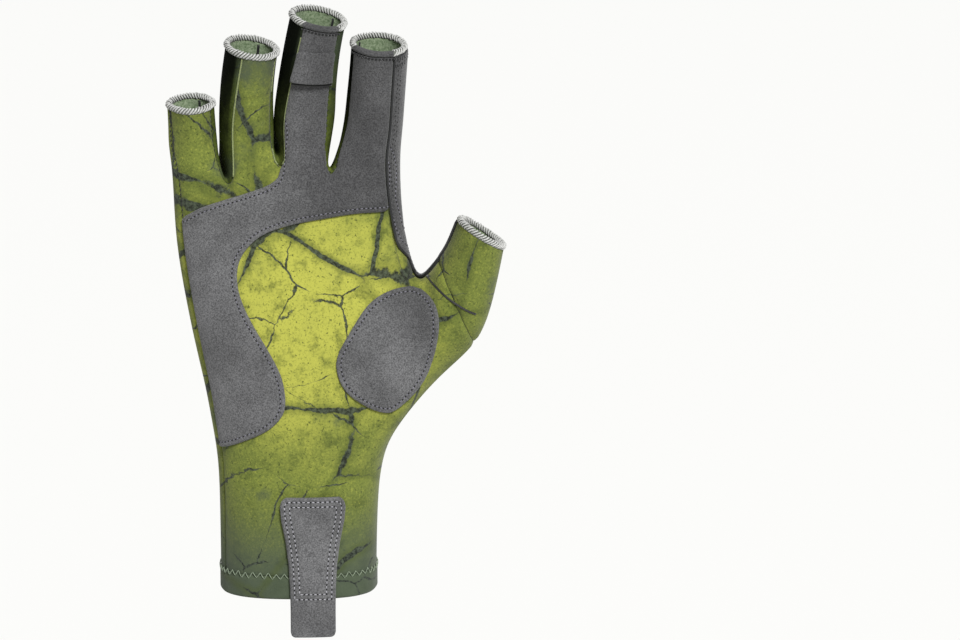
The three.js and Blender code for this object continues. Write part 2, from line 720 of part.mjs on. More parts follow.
// Overlocked edges: a rounded bead on the end of each finger and the thumb

// Section of the bead: out from the skin as a share of EDGE_DEPTH and beyond the cloth's end as a
// share of EDGE_HEIGHT
const BEAD = [
  { out: -0.48, beyond: 0.2 },
  { out: 0, beyond: 0 },
  { out: 0.52, beyond: 0.2 },
  { out: 0.45, beyond: 0.75 },
  { out: 0.03, beyond: 1 },
  { out: -0.42, beyond: 0.75 },
];

// Points of an open end in order round it, so that the normal crossed with the way on points beyond it
function openEnd(part) {
  const next = new Map();
  for (const { a, b, faces } of skin.edges().values()) {
    if (faces.length > 1 || skin.faces[faces[0]].tag.part !== part) continue;
    next.set(b, a);
  }
  const loop = [next.keys().next().value];
  while (loop.length < next.size) loop.push(next.get(loop.at(-1)));
  return loop;
}

function bead(part) {
  const loop = openEnd(part);
  const count = loop.length;
  const at = (k) => skin.points[loop[(k + count) % count]];
  const positions = [];
  loop.forEach((v, k) => {
    const along = at(k + 1).clone().sub(at(k - 1)).normalize();
    const beyond = new THREE.Vector3().crossVectors(skinNormals[v], along).normalize();
    for (const corner of BEAD) {
      const point = skin.points[v].clone().addScaledVector(skinNormals[v], corner.out * EDGE_DEPTH);
      point.addScaledVector(beyond, GAP - SEAM_INSET + corner.beyond * EDGE_HEIGHT);
      positions.push(point.x, point.y, point.z);
    }
  });
  const index = [];
  const size = BEAD.length;
  for (let k = 0; k < count; k++) {
    for (let c = 0; c < size; c++) {
      const [here, there] = [k * size, ((k + 1) % count) * size];
      const next = (c + 1) % size;
      index.push(here + c, there + c, there + next, here + c, there + next, here + next);
    }
  }
  const geometry = new THREE.BufferGeometry();
  geometry.setAttribute("position", new THREE.Float32BufferAttribute(positions, 3));
  geometry.setIndex(index);
  return geometry;
}

const ENDS = [...FINGERS.map((finger) => finger.name), "thumb"];
for (const part of ENDS) addPiece(part + "_edge", bead(part), "overlock");

// Pull tab: a strip that follows the cuff's front and hangs free below the hem

function cuffFront(x, z) {
  const middle = BODY_ROWS[0].shift * PALM_WIDTH;
  const share = Math.abs(x - middle) / (CUFF_WIDTH / 2);
  const taper = (z - HEM_HEIGHT) / (BODY_ROWS[2].rise * BODY_LENGTH - HEM_HEIGHT);
  const thin = smooth(taper) * BODY_ROWS[2].thin;
  const halfDepth = mix(CUFF_DEPTH, PALM_DEPTH, thin) / 2;
  return -halfDepth * Math.pow(1 - Math.pow(share, SQUARENESS), 1 / SQUARENESS);
}

function pullTab() {
  const columns = 7;
  const outer = [];
  const inner = [];
  for (const { down, half } of TAB_SHAPE) {
    const z = TAB.length - TAB.drop - down * TAB.length;
    const off = mix(GAP + 0.35, GAP + HEM_FOLD + 0.25, smooth((HEM_HEIGHT + 4 - z) / 6));
    for (let k = 0; k <= columns; k++) {
      const x = TAB.across + ((2 * k) / columns - 1) * half * (TAB.width / 2);
      const y = cuffFront(x, Math.max(0, z)) - off;
      outer.push([x, y - TAB.thickness, z]);
      inner.push([x, y, z]);
    }
  }
  const positions = [...outer, ...inner].flat();
  const index = [];
  const rows = TAB_SHAPE.length;
  const width = columns + 1;
  const back = rows * width;
  const quad = (a, b, c, d) => index.push(a, b, c, a, c, d);
  for (let r = 0; r < rows - 1; r++) {
    for (let k = 0; k < columns; k++) {
      const [a, b, c, d] = [r * width + k, (r + 1) * width + k, (r + 1) * width + k + 1, r * width + k + 1];
      quad(a, b, c, d);
      quad(d + back, c + back, b + back, a + back);
    }
    const [left, right] = [r * width, r * width + columns];
    quad(left + width, left, left + back, left + width + back);
    quad(right, right + width, right + width + back, right + back);
  }
  const last = (rows - 1) * width;
  for (let k = 0; k < columns; k++) {
    quad(k, k + 1, k + 1 + back, k + back);
    quad(last + k + 1, last + k, last + k + back, last + k + 1 + back);
  }
  const geometry = new THREE.BufferGeometry();
  geometry.setAttribute("position", new THREE.Float32BufferAttribute(positions, 3));
  geometry.setIndex(index);
  return geometry;
}

addPiece("pull_tab", pullTab(), "suede");

export default glove;
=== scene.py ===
# %% [markdown]
# # A fingerless fishing glove
#
# The real thing is a thin sun glove for the right hand: printed stretch knit, with grey microfibre
# sewn over the places that the rod and the line rub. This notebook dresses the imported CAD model, which
# gives the frame: metres, +Z from the wrist to the fingertips, -Y out of the palm, +X to the thumb.

import math
from collections import namedtuple

import bpy
import numpy as np
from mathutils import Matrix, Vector, kdtree


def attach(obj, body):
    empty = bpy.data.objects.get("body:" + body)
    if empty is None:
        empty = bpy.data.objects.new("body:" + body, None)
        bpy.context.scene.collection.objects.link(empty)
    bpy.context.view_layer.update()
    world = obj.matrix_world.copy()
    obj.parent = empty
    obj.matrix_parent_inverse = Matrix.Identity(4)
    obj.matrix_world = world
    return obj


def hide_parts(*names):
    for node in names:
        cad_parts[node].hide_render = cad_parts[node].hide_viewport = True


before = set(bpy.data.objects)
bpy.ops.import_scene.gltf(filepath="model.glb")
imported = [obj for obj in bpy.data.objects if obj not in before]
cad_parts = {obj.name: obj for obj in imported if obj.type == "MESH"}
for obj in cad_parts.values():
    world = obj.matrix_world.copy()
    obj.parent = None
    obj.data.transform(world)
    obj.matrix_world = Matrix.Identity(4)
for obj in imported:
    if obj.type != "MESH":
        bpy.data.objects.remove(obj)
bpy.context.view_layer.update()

# %% [markdown]
# ## Sizes
#
# All shapes are worked out in millimetres and turned into metres when a mesh is made. The glove is
# drawn from the same driving sizes as the CAD model, so that the cloth here lies where its solids lie.
# Heights are shares of the body's length and places across are shares of the palm's width.

# %% Driving sizes
MM = 0.001
BODY_LENGTH = 180.0  # hem to the finger roots
CUFF_WIDTH = 66.0
CUFF_DEPTH = 50.0
PALM_WIDTH = 95.6
PALM_DEPTH = 33.0
THUMB_DEPTH = 26.0
HEM_HEIGHT = 9.5
FABRIC = 1.2  # printed knit
SUEDE = 1.1  # microfibre


def table(names, *values):
    """A list of dictionaries, one for each row of values."""
    return [dict(zip(names.split(), row)) for row in values]


BODY_ROWS = table(
    "rise wide thin shift bulge thenar",
    (0, 0, 0, 0.005, 0, 0),
    (HEM_HEIGHT / BODY_LENGTH, 0, 0, 0.005, 0, 0),
    (0.2, 0.03, 0.1, 0.008, 0, 0),
    (0.311, 0.14, 0.3, 0.018, 0.01, 0.01),
    (0.4, 0.455, 0.55, 0.044, 0.025, 0.035),
    (0.494, 0.763, 0.7, 0.061, 0.03, 0.065),
    (0.6, 0.969, 0.85, 0.049, 0.025, 0.065),
    (0.744, 1.061, 1.1, 0.013, 0.012, 0.03),
    (0.86, 0.95, 1.44, -0.031, 0.003, 0),
)
THUMB_FROM_ROW, THUMB_TO_ROW = 4, 7  # the thumb grows out of the side between these rows

# seams are angles round the finger, 0 straight out of the palm and 90 to the thumb: front left,
# front right, back right and back left
FINGERS = table(
    "name length width narrow foot root tip sway seams tip_seams rings",
    ("little", 29.6, 19.6, 0.95, 0.983, -0.432, -0.447, -0.002,
     (-70, 74, 150, 240), (-74, 74, 156, 240), (0.4, 0.7)),
    ("ring", 49.4, 22.6, 0.96, 1.008, -0.199, -0.18, -0.018,
     (-34, 68, 148, 248), (-20, 78, 163, 258), (0.27, 0.5, 0.74)),
    ("middle", 57.7, 25.2, 0.905, 1.031, 0.037, 0.109, -0.015,
     (-42, 48, 138, 244), (-31, 50, 140, 256), (0.24, 0.45, 0.66, 0.84)),
    ("index", 49, 23.3, 0.955, 1.017, 0.318, 0.37, 0.004,
     (-60, 40, 134, 234), (-64, 36, 132, 234), (0.26, 0.5, 0.75)),
)
FINGER_DEPTH = 0.93
ROOT_PITCH, FINGER_BEND = 3, 13  # degrees that a finger leans at its root, and gains up to its tip

CROTCHES = table(
    "front_up back_up front_across back_across",
    (0.98, 0.98, -0.532, -0.532),
    (0.985, 0.98, -0.286, -0.366),
    (1.027, 1.044, -0.058, -0.128),
    (1.012, 0.998, 0.164, 0.152),
    (1.0, 1.01, 0.45, 0.45),
)
CROTCH_WIDTH = 3.4
LITTLE_TURN, INDEX_TURN = 2.4, 5  # how far the outer seams lie in from the sides of the hand
ROOT_DEPTH, ROOT_SWELL, ROOT_RISE = 0.89, 0.05, 0.7

THUMB_ROWS = table(
    "outer_across outer_up inner_across inner_up deep forward",
    (0.632, 0.508, 0.574, 0.752, 1.22, 0.15),
    (0.788, 0.594, 0.624, 0.786, 1.12, 0.31),
    (0.864, 0.7, 0.67, 0.826, 1, 0.44),
    (0.912, 0.822, 0.714, 0.886, 0.91, 0.58),
)
THUMB_SEAM_ROW = 2
print("glove", BODY_LENGTH, "mm from the hem to the finger roots,", PALM_WIDTH, "mm across the knuckles")

# %% [markdown]
# ## The skin
#
# Cloth that is stretched over a hand has no flat places, so it is drawn as one cage of quads. The cage
# has a ring of points for each section of the body, the thumb and the fingers. Blender's subdivision
# surface then gives the smooth skin, and a tag on each face remembers which part it came from.

# %% Rings of the cage
FRONT_COLUMNS = 3 * len(FINGERS) - 1
SIDE = FRONT_COLUMNS + 2  # number of the ring's point on the thumb's side
SQUARENESS = 2.5  # exponent of a body section, where 2 is an ellipse
SEAM_SHARE = 0.935
Tag = namedtuple("Tag", "part row column")


def mix(a, b, t):
    return a + (b - a) * t


def smooth(value, low=0.0, high=1.0):
    t = np.clip((value - low) / (high - low), 0.0, 1.0)
    return t * t * (3 - 2 * t)


def unit(vectors):
    return vectors / np.maximum(np.linalg.norm(vectors, axis=-1, keepdims=True), 1e-9)


def finger_ring(finger, share):
    """Eight points round a finger, this share of the way up it."""
    start, bend = math.radians(ROOT_PITCH), math.radians(FINGER_BEND)
    pitch, radius = start + bend * share, finger["length"] / bend
    across = mix(finger["root"], finger["tip"], share) + 4 * finger["sway"] * share * (1 - share)
    forward = radius * (math.cos(start) - math.cos(pitch))
    up = finger["foot"] * BODY_LENGTH + radius * (math.sin(pitch) - math.sin(start))
    middle = np.array([across * PALM_WIDTH, -forward, up])
    slope = finger["tip"] - finger["root"] + 4 * finger["sway"] * (1 - 2 * share)
    axis = unit(np.array([slope * PALM_WIDTH / finger["length"], -math.sin(pitch), math.cos(pitch)]))
    right = unit(np.array([1.0, 0, 0]) - axis[0] * axis)
    behind = np.cross(axis, right)
    half = finger["width"] / 2 * mix(1, finger["narrow"], smooth(share))
    half *= 1 + ROOT_SWELL * (1 - share) ** 4
    seams = [mix(a, b, smooth(share)) for a, b in zip(finger["seams"], finger["tip_seams"])]
    front_left, front_right, back_right, back_left = seams
    angles = np.radians([
        (back_left + front_left + 360) / 2, front_left, (front_left + front_right) / 2, front_right,
        (front_right + back_right) / 2, back_right, (back_right + back_left) / 2, back_left,
    ])
    round_it = np.outer(np.sin(angles), right) - FINGER_DEPTH * np.outer(np.cos(angles), behind)
    return middle + half * round_it


def root_ring(number):
    """The same eight points where a finger meets the body, between its two crotches."""
    depth = FINGERS[number]["width"] * ROOT_DEPTH / 2
    left, right = CROTCHES[number], CROTCHES[number + 1]

    def at(crotch, inward, through, y):
        outer = crotch is CROTCHES[0] or crotch is CROTCHES[-1]
        turn = LITTLE_TURN if crotch is CROTCHES[0] else INDEX_TURN
        inset = (0 if through == 0.5 else turn) if outer else CROTCH_WIDTH / 2
        across = mix(crotch["front_across"], crotch["back_across"], through) * PALM_WIDTH
        up = mix(crotch["front_up"], crotch["back_up"], through) * BODY_LENGTH
        return np.array([across + inward * inset, y, up])

    front_left, front_right = at(left, 1, 0, -depth), at(right, -1, 0, -depth)
    back_left, back_right = at(left, 1, 1, depth), at(right, -1, 1, depth)
    rise = np.array([0, ROOT_RISE, 0])
    return np.array([
        at(left, 1, 0.5, 0), front_left, (front_left + front_right) / 2 - rise, front_right,
        at(right, -1, 0.5, 0), back_right, (back_right + back_left) / 2 + rise, back_left,
    ])


def body_ring(row, roots):
    """A section of the body, with its points spaced more and more as the finger roots are."""
    half_width = mix(CUFF_WIDTH, PALM_WIDTH, row["wide"]) / 2
    half_depth = mix(CUFF_DEPTH, PALM_DEPTH, row["thin"]) / 2
    middle = np.array([row["shift"] * PALM_WIDTH, -row["bulge"] * PALM_WIDTH, row["rise"] * BODY_LENGTH])

    def at(share, side):
        depth = (1 - abs(share) ** SQUARENESS) ** (1 / SQUARENESS)
        swell = row["thenar"] * PALM_WIDTH * share * share if side < 0 < share else 0
        return middle + np.array([share * half_width, side * depth * half_depth - swell, 0])

    def shares_of(spread):
        spread = np.array(spread)
        even = np.linspace(-SEAM_SHARE, SEAM_SHARE, len(spread))
        rooted = mix(-SEAM_SHARE, SEAM_SHARE, (spread - spread[0]) / (spread[-1] - spread[0]))
        return mix(even, rooted, smooth(row["rise"]))

    front = shares_of([p[0] for ring in roots for p in ring[1:4]])
    back = shares_of([p[0] for ring in roots for p in ring[7:4:-1]])
    return [at(-1, 0), *(at(s, -1) for s in front), at(1, 0), *(at(s, 1) for s in back[::-1])]


def thumb_ring(row, size):
    outer = np.array([row["outer_across"] * PALM_WIDTH, 0, row["outer_up"] * BODY_LENGTH])
    inner = np.array([row["inner_across"] * PALM_WIDTH, 0, row["inner_up"] * BODY_LENGTH])
    middle = (outer + inner) / 2 - np.array([0, row["forward"] * THUMB_DEPTH, 0])
    angles = 2 * math.pi * np.arange(size) / size
    deep = np.array([0, row["deep"] * THUMB_DEPTH / 2, 0])
    return middle + np.outer(np.cos(angles), (outer - inner) / 2) + np.outer(np.sin(angles), deep)


print("a body ring has", 2 * FRONT_COLUMNS + 4, "points and a finger ring 8")

# %% [markdown]
# The rings are joined into tubes. The body's last ring is made of the fingers' first ones, two faces
# close each crotch, and the thumb starts from a hole that is left in the body's side.

# %% Build the cage
cage_points, cage_faces, cage_tags = [], [], []


def keep(ring):
    """Adds a ring's points to the cage and returns their numbers."""
    cage_points.extend(np.asarray(p, float) for p in ring)
    return list(range(len(cage_points) - len(ring), len(cage_points)))


def add_face(ring, tag):
    cage_faces.append(ring)
    cage_tags.append(tag)


def add_tube(lower, upper, part, row, open_columns=()):
    for column in range(len(lower)):
        after = (column + 1) % len(lower)
        if column not in open_columns:
            add_face((lower[column], lower[after], upper[after], upper[column]), Tag(part, row, column))


roots = [root_ring(number) for number in range(len(FINGERS))]
root_ids = [keep(ring) for ring in roots]
body = []
for r, row in enumerate(BODY_ROWS):
    ring = body_ring(row, roots)
    in_hole = THUMB_FROM_ROW < r < THUMB_TO_ROW
    body.append([None if in_hole and k == SIDE else keep([point])[0] for k, point in enumerate(ring)])
body.append([
    root_ids[0][0], *(v for ring in root_ids for v in ring[1:4]),
    root_ids[-1][4], *(v for ring in root_ids[::-1] for v in ring[5:8]),
])
for r in range(len(body) - 1):
    beside_hole = THUMB_FROM_ROW <= r < THUMB_TO_ROW
    add_tube(body[r], body[r + 1], "body", r, (SIDE - 1, SIDE) if beside_hole else ())

rows_beside = range(THUMB_FROM_ROW, THUMB_TO_ROW + 1)
below = [body[THUMB_FROM_ROW][SIDE], *(body[r][SIDE + 1] for r in rows_beside),
         body[THUMB_TO_ROW][SIDE], *(body[r][SIDE - 1] for r in reversed(rows_beside))]
for r, row in enumerate(THUMB_ROWS):
    ring = keep(thumb_ring(row, len(below)))
    add_tube(below, ring, "thumb", r)
    below = ring

for number, finger in enumerate(FINGERS):
    lower = root_ids[number]
    for r, share in enumerate((*finger["rings"], 1)):
        ring = keep(finger_ring(finger, share))
        add_tube(lower, ring, finger["name"], r)
        lower = ring
    if number:
        before, here = root_ids[number - 1], root_ids[number]
        add_face((before[3], here[1], here[0], before[4]), Tag("web", number - 1, 0))
        add_face((before[4], here[0], here[7], before[5]), Tag("web", number - 1, 1))

cage_points, cage_faces = np.array(cage_points), np.array(cage_faces)
print("cage:", len(cage_points), "points,", len(cage_faces), "faces")

# %% [markdown]
# A subdivision surface shrinks away from its cage. So the cage is first pushed out by as much as each
# point would lie off the surface, twice over, and the finished skin then passes close by the drawn
# points.

# %% Fit the cage and smooth it
SMOOTH_LEVELS = 3


def edges_of(quads):
    """All edges of some quads, each with the number of times that it is used."""
    pairs = np.concatenate([np.stack([quads[:, k], quads[:, (k + 1) % 4]], 1) for k in range(4)])
    return np.unique(np.sort(pairs, 1), axis=0, return_counts=True)


def limit_points(points, faces):
    """Where each point of a cage comes to lie on the smooth surface."""
    edges, uses = edges_of(faces)
    both = np.concatenate([edges, edges[:, ::-1]])
    rim_pairs = both[np.tile(uses == 1, 2)]
    near, far, rim, count = (np.zeros_like(points) for _ in range(4))
    np.add.at(near, both[:, 0], points[both[:, 1]])
    np.add.at(count, both[:, 0], 1)
    np.add.at(rim, rim_pairs[:, 0], points[rim_pairs[:, 1]])
    for k in range(4):
        np.add.at(far, faces[:, k], points[faces[:, (k + 2) % 4]])
    limit = (count * count * points + 4 * near + far) / (count * (count + 5))
    on_rim = np.unique(rim_pairs[:, 0])
    limit[on_rim] = (4 * points[on_rim] + rim[on_rim]) / 6
    return limit


def smooth_surface(points, faces, levels):
    """The subdivision surface of a cage: its points, its quads and the cage face of each quad."""
    mesh = bpy.data.meshes.new("cage")
    mesh.from_pydata(points.tolist(), [], faces.tolist())
    mark = mesh.attributes.new("cage_face", "INT", "FACE")
    mark.data.foreach_set("value", np.arange(len(faces), dtype=np.int32))
    cage = bpy.data.objects.new("cage", mesh)
    bpy.context.scene.collection.objects.link(cage)
    modifier = cage.modifiers.new("smooth", "SUBSURF")
    modifier.levels = levels
    modifier.boundary_smooth = "ALL"
    fine = cage.evaluated_get(bpy.context.evaluated_depsgraph_get()).to_mesh()
    found, quads = np.zeros(len(fine.vertices) * 3), np.zeros(len(fine.loops), int)
    source = np.zeros(len(fine.polygons), np.int32)
    fine.vertices.foreach_get("co", found)
    fine.loops.foreach_get("vertex_index", quads)
    fine.attributes["cage_face"].data.foreach_get("value", source)
    bpy.data.objects.remove(cage)
    return found.reshape(-1, 3), quads.reshape(-1, 4), source


def normals_of(points, quads):
    a, b, c, d = (points[quads[:, k]] for k in range(4))
    found = np.zeros_like(points)
    for k in range(4):
        np.add.at(found, quads[:, k], np.cross(c - a, d - b))
    return unit(found)


fitted = cage_points.copy()
for _ in range(2):
    fitted += cage_points - limit_points(fitted, cage_faces)
skin_points, skin_faces, skin_source = smooth_surface(fitted, cage_faces, SMOOTH_LEVELS)
skin_foot, skin_head = skin_points[:, 2].min(), skin_points[:, 2].max()
print("skin:", len(skin_faces), "quads, z from", skin_foot.round(1), "to", skin_head.round(1))

# %% [markdown]
# ## Cutting pattern
#
# Each face of the skin belongs to one piece of shell cloth: the back, the palm, the strips between the
# fingers that glovers call fourchettes, the thumb's sleeve and the hem.

# %% Pieces of the shell
FINGER_SIDES = ("left", "front", "front", "right", "right", "back", "back", "left")
FINGER_NAMES = [finger["name"] for finger in FINGERS]
HALF_THUMB = 5  # thumb columns below this one lie at the back


def side_of(tag):
    return FINGER_SIDES[tag.column] if tag.part in FINGER_NAMES else None


def cloth_of(tag):
    """The piece of shell cloth that a face belongs to."""
    if tag.part == "web":
        return f"{FINGER_NAMES[tag.row]}_{FINGER_NAMES[tag.row + 1]}_fourchette"
    if tag.part == "thumb":
        if tag.row >= THUMB_SEAM_ROW:
            return "thumb_sleeve"
        return "back_panel" if tag.column < HALF_THUMB else "palm_panel"
    if tag.part == "body":
        if tag.row == 0:
            return "cuff_hem"
        side_front = tag.column == SIDE - 1 and tag.row < THUMB_FROM_ROW
        return "palm_panel" if 0 < tag.column < SIDE - 1 or side_front else "back_panel"
    number, side = FINGER_NAMES.index(tag.part), side_of(tag)
    if side == "front":
        return "palm_panel"
    if side == "left" and number > 0:
        return f"{FINGER_NAMES[number - 1]}_{tag.part}_fourchette"
    if side == "right" and number < len(FINGERS) - 1:
        return f"{tag.part}_{FINGER_NAMES[number + 1]}_fourchette"
    return "back_panel"


face_tags = [cage_tags[source] for source in skin_source]
face_cloth = np.array([cloth_of(tag) for tag in face_tags])


def faces_where(test):
    return np.array([bool(test(tag)) for tag in cage_tags])[skin_source]


print({name: int((face_cloth == name).sum()) for name in sorted(set(face_cloth))})

# %% [markdown]
# ## Folds
#
# The knit is tight and has few folds: a crease or two where a finger bends, and some that run from the
# root of the thumb. Each is a soft valley along a line as seen from the front or the back, with the
# cloth that it pushed aside standing up on both sides.

# %% Press the folds into the skin
FOLDS = table(
    "facing from_across from_up to_across to_up width depth",
    (-1, -24.8, 208.2, -10.2, 210.7, 1.0, 0.75),
    (-1, -22.0, 204.2, -10.9, 206.0, 1.3, 0.35),
    (-1, -42.0, 194.6, -33.8, 195.0, 1.0, 0.35),
    (-1, 5.0, 190.0, 19.0, 191.0, 2.4, 0.35),
    (-1, 56.0, 134.5, 72.0, 124.0, 1.1, 0.8),
    (-1, 57.0, 130.5, 71.0, 119.0, 1.5, 0.6),
    (-1, 53.0, 136.0, 61.0, 118.0, 1.8, 0.5),
    (-1, -32.0, 58.0, 4.0, 52.0, 4.0, 0.5),
    (-1, 6.0, 60.0, 38.0, 50.0, 4.5, 0.5),
    (1, -40.0, 186.0, -28.0, 188.0, 1.6, 0.5),
    (1, -24.0, 204.0, -12.0, 205.0, 1.4, 0.6),
    (1, 0.0, 212.0, 14.0, 213.0, 1.5, 0.6),
    (1, 26.0, 205.0, 38.0, 206.0, 1.4, 0.6),
    (1, 40.0, 128.0, 62.0, 112.0, 2.6, 0.7),
    (1, 38.0, 118.0, 58.0, 102.0, 3.0, 0.6),
    (1, -30.0, 56.0, 30.0, 50.0, 4.5, 0.6),
)


def fold_height(points, normals, fold):
    """How far a fold lifts each point: a valley with a low ridge on each side."""
    start = np.array([fold["from_across"], fold["from_up"]])
    way = np.array([fold["to_across"], fold["to_up"]]) - start
    flat = points[:, [0, 2]] - start
    along = np.clip(flat @ way / (way @ way), 0, 1)
    away = np.linalg.norm(flat - along[:, None] * way, axis=1) / fold["width"]
    valley = np.exp(-away * away)
    ridges = np.exp(-((away - 2.1) ** 2) / 1.2)
    ends = smooth(along, 0, 0.3) * smooth(1 - along, 0, 0.3)
    faces_it = smooth(normals[:, 1] * fold["facing"], 0.15, 0.6)
    return (0.45 * ridges - valley) * fold["depth"] * mix(0.25, 1, ends) * faces_it


skin_normals = normals_of(skin_points, skin_faces)
lift = sum(fold_height(skin_points, skin_normals, fold) for fold in FOLDS)
skin_points = skin_points + skin_normals * lift[:, None]
skin_normals = normals_of(skin_points, skin_faces)
print("folds reach from", lift.min().round(2), "to", lift.max().round(2), "mm")

# %% [markdown]
# ## Cloth from the skin
#
# A sheet starts as some faces of the skin. Every corner also carries three distances: to the nearest
# seam of the shell, to the sheet's own edge, and to the edge that is drawn for it, if it is a patch.
# Cutting the faces along lines of equal distance gives clean edges, a rounded shoulder and the line
# for the stitches, and none of it depends on how the skin's quads run.

# %% Measure distances on the skin
X, Y, Z, NX, NY, NZ, SEAM, EDGE, DRAWN = range(9)  # what each corner of a sheet carries
FAR = 99.0


def distance_to(edges, edge_points, places, step=0.15):
    """How far each place is from the nearest of some edges."""
    if not len(edges):
        return np.full(len(places), FAR)
    a, b = edge_points[edges[:, 0]], edge_points[edges[:, 1]]
    count = int(np.linalg.norm(b - a, axis=1).max() / step) + 2
    samples = mix(a, b, np.linspace(0, 1, count)[:, None, None]).reshape(-1, 3)
    tree = kdtree.KDTree(len(samples))
    for k, sample in enumerate(samples):
        tree.insert(sample, k)
    tree.balance()
    return np.array([tree.find(place)[2] for place in places])


def seam_edges():
    """Edges of the skin between two pieces of shell cloth, apart from the hem's."""
    sides = {}
    for name in sorted(set(face_cloth) - {"cuff_hem"}):
        edges, uses = edges_of(skin_faces[face_cloth == name])
        for pair in map(tuple, edges[uses == 1]):
            sides[pair] = sides.get(pair, 0) + 1
    return np.array([pair for pair, count in sides.items() if count == 2])


seams = seam_edges()
skin_seam = distance_to(seams, skin_points, skin_points)
print(len(seams), "edges lie on seams")


# %% Sheets of cloth
class Sheet:
    """Polygons cut from the skin, or from another surface, with distances at every corner."""

    def __init__(self, points, normals, quads, seam=None, outline=None, inset=0.0, bare=None):
        used, flat = np.unique(quads, return_inverse=True)
        quads = flat.reshape(-1, 4)
        points, normals = points[used], normals[used]
        edges, uses = edges_of(quads)
        edge = distance_to(edges[uses == 1], points, points)
        drawn = np.full(len(points), FAR) if outline is None else inside_outline(points, outline)
        if bare:
            drawn = np.minimum(drawn, np.maximum(-inside_outline(points, bare[0]), points[:, 1] - bare[1]))
        seam = np.full(len(points), FAR) if seam is None else seam[used]
        edge = np.minimum(edge, drawn + inset)
        self.rows = list(np.column_stack([points, normals, seam, edge, drawn]))
        self.polygons = []
        for quad in quads.tolist():
            inner = [k for k in range(4) if self.rows[quad[k]][EDGE] > 0.05]
            if len(inner) == 1:  # a corner of the sheet is split, so that lines beside its edge turn there
                a, b, c, d = np.roll(quad, -inner[0]).tolist()
                self.polygons += [[a, b, c], [a, c, d]]
            else:
                self.polygons.append(quad)
        self.trim(EDGE, inset)

    def cut(self, column, level, snap=0.06):
        """Splits the polygons along the line where one of the distances has this value."""
        values = np.array(self.rows)
        away = values[:, column] - level
        for k in np.nonzero(np.abs(away) < snap)[0]:
            away[k] = 0
            self.rows[k][column] = level
        made, kept = {}, []

        def crossing(a, b):
            pair = (min(a, b), max(a, b))
            if pair not in made:
                row = mix(self.rows[a], self.rows[b], away[a] / (away[a] - away[b]))
                row[column] = level
                self.rows.append(row)
                made[pair] = len(self.rows) - 1
            return made[pair]

        for polygon in self.polygons:
            signs = away[polygon]
            if signs.min() >= 0 or signs.max() <= 0:
                kept.append(polygon)
                continue
            turned = np.roll(signs, -1)
            pieces = [polygon]
            if (signs * turned < 0).sum() > 2:
                pieces = [[polygon[0], polygon[k], polygon[k + 1]] for k in range(1, len(polygon) - 1)]
            for piece in pieces:
                above, beneath = [], []
                for a, b in zip(piece, piece[1:] + piece[:1]):
                    if away[a] >= 0:
                        above.append(a)
                    if away[a] <= 0:
                        beneath.append(a)
                    if away[a] * away[b] < 0:
                        corner = crossing(a, b)
                        above.append(corner)
                        beneath.append(corner)
                kept.extend(part for part in (above, beneath) if len(part) > 2)
        self.polygons = kept
        return self

    def trim(self, column, level):
        """Cuts away what lies below a level."""
        self.cut(column, level)
        self.polygons = [p for p in self.polygons if max(self.rows[v][column] for v in p) > level + 1e-6]
        return self

    def chains(self, column, level, test=lambda row: True):
        """Lines of corners on one level of a distance, each as an array of rows."""
        beside = {}
        for polygon in self.polygons:
            for a, b in zip(polygon, polygon[1:] + polygon[:1]):
                if all(self.rows[v][column] == level and test(self.rows[v]) for v in (a, b)):
                    beside.setdefault(a, set()).add(b)
                    beside.setdefault(b, set()).add(a)
        found, left = [], set(beside)
        ends = [v for v in beside if len(beside[v]) == 1]
        for start in [*ends, *beside]:
            if start not in left:
                continue
            chain = [start]
            left.discard(start)
            while True:
                ahead = [v for v in beside[chain[-1]] if v in left]
                if not ahead:
                    break
                chain.append(ahead[0])
                left.discard(ahead[0])
            if len(chain) > 2 and chain[0] in beside[chain[-1]]:
                chain.append(chain[0])
            found.append(np.array([self.rows[v] for v in chain]))
        return [chain for chain in found if len(chain) > 2]

    def solid(self, top, bottom):
        """Points, polygons and finish numbers of the sheet between two heights over its surface."""
        used = sorted({v for polygon in self.polygons for v in polygon})
        number = {v: k for k, v in enumerate(used)}
        rows = np.array([self.rows[v] for v in used])
        normals = unit(rows[:, NX:NZ + 1])
        upper = rows[:, :3] + normals * top(rows)[:, None]
        lower = rows[:, :3] + normals * bottom(rows)[:, None]
        count, outer, walls = len(used), [], {}
        for polygon in self.polygons:
            ring = [number[v] for v in polygon]
            outer.append(ring)
            for a, b in zip(ring, ring[1:] + ring[:1]):
                if (b, a) in walls:
                    del walls[(b, a)]
                else:
                    walls[(a, b)] = True
        inner = [[v + count for v in reversed(ring)] for ring in outer]
        sides = [[b, a, a + count, b + count] for a, b in walls]
        finishes = [0] * len(outer) + [1] * len(inner) + [0] * len(sides)
        return np.concatenate([upper, lower]), outer + inner + sides, finishes


def inside_outline(points, outline):
    """How far inside a closed outline on the XZ plane each point lies; less than 0 is outside."""
    flat, corners = points[:, [0, 2]], np.asarray(outline)
    nearest, inside = np.full(len(flat), np.inf), np.zeros(len(flat), bool)
    for a, b in zip(corners, np.roll(corners, -1, axis=0)):
        way = b - a
        along = np.clip((flat - a) @ way / (way @ way), 0, 1)
        nearest = np.minimum(nearest, np.linalg.norm(flat - a - along[:, None] * way, axis=1))
        if a[1] != b[1]:
            crosses = (flat[:, 1] < a[1]) != (flat[:, 1] < b[1])
            inside ^= crosses & (flat[:, 0] < a[0] + (flat[:, 1] - a[1]) * way[0] / way[1])
    return np.where(inside, nearest, -nearest)


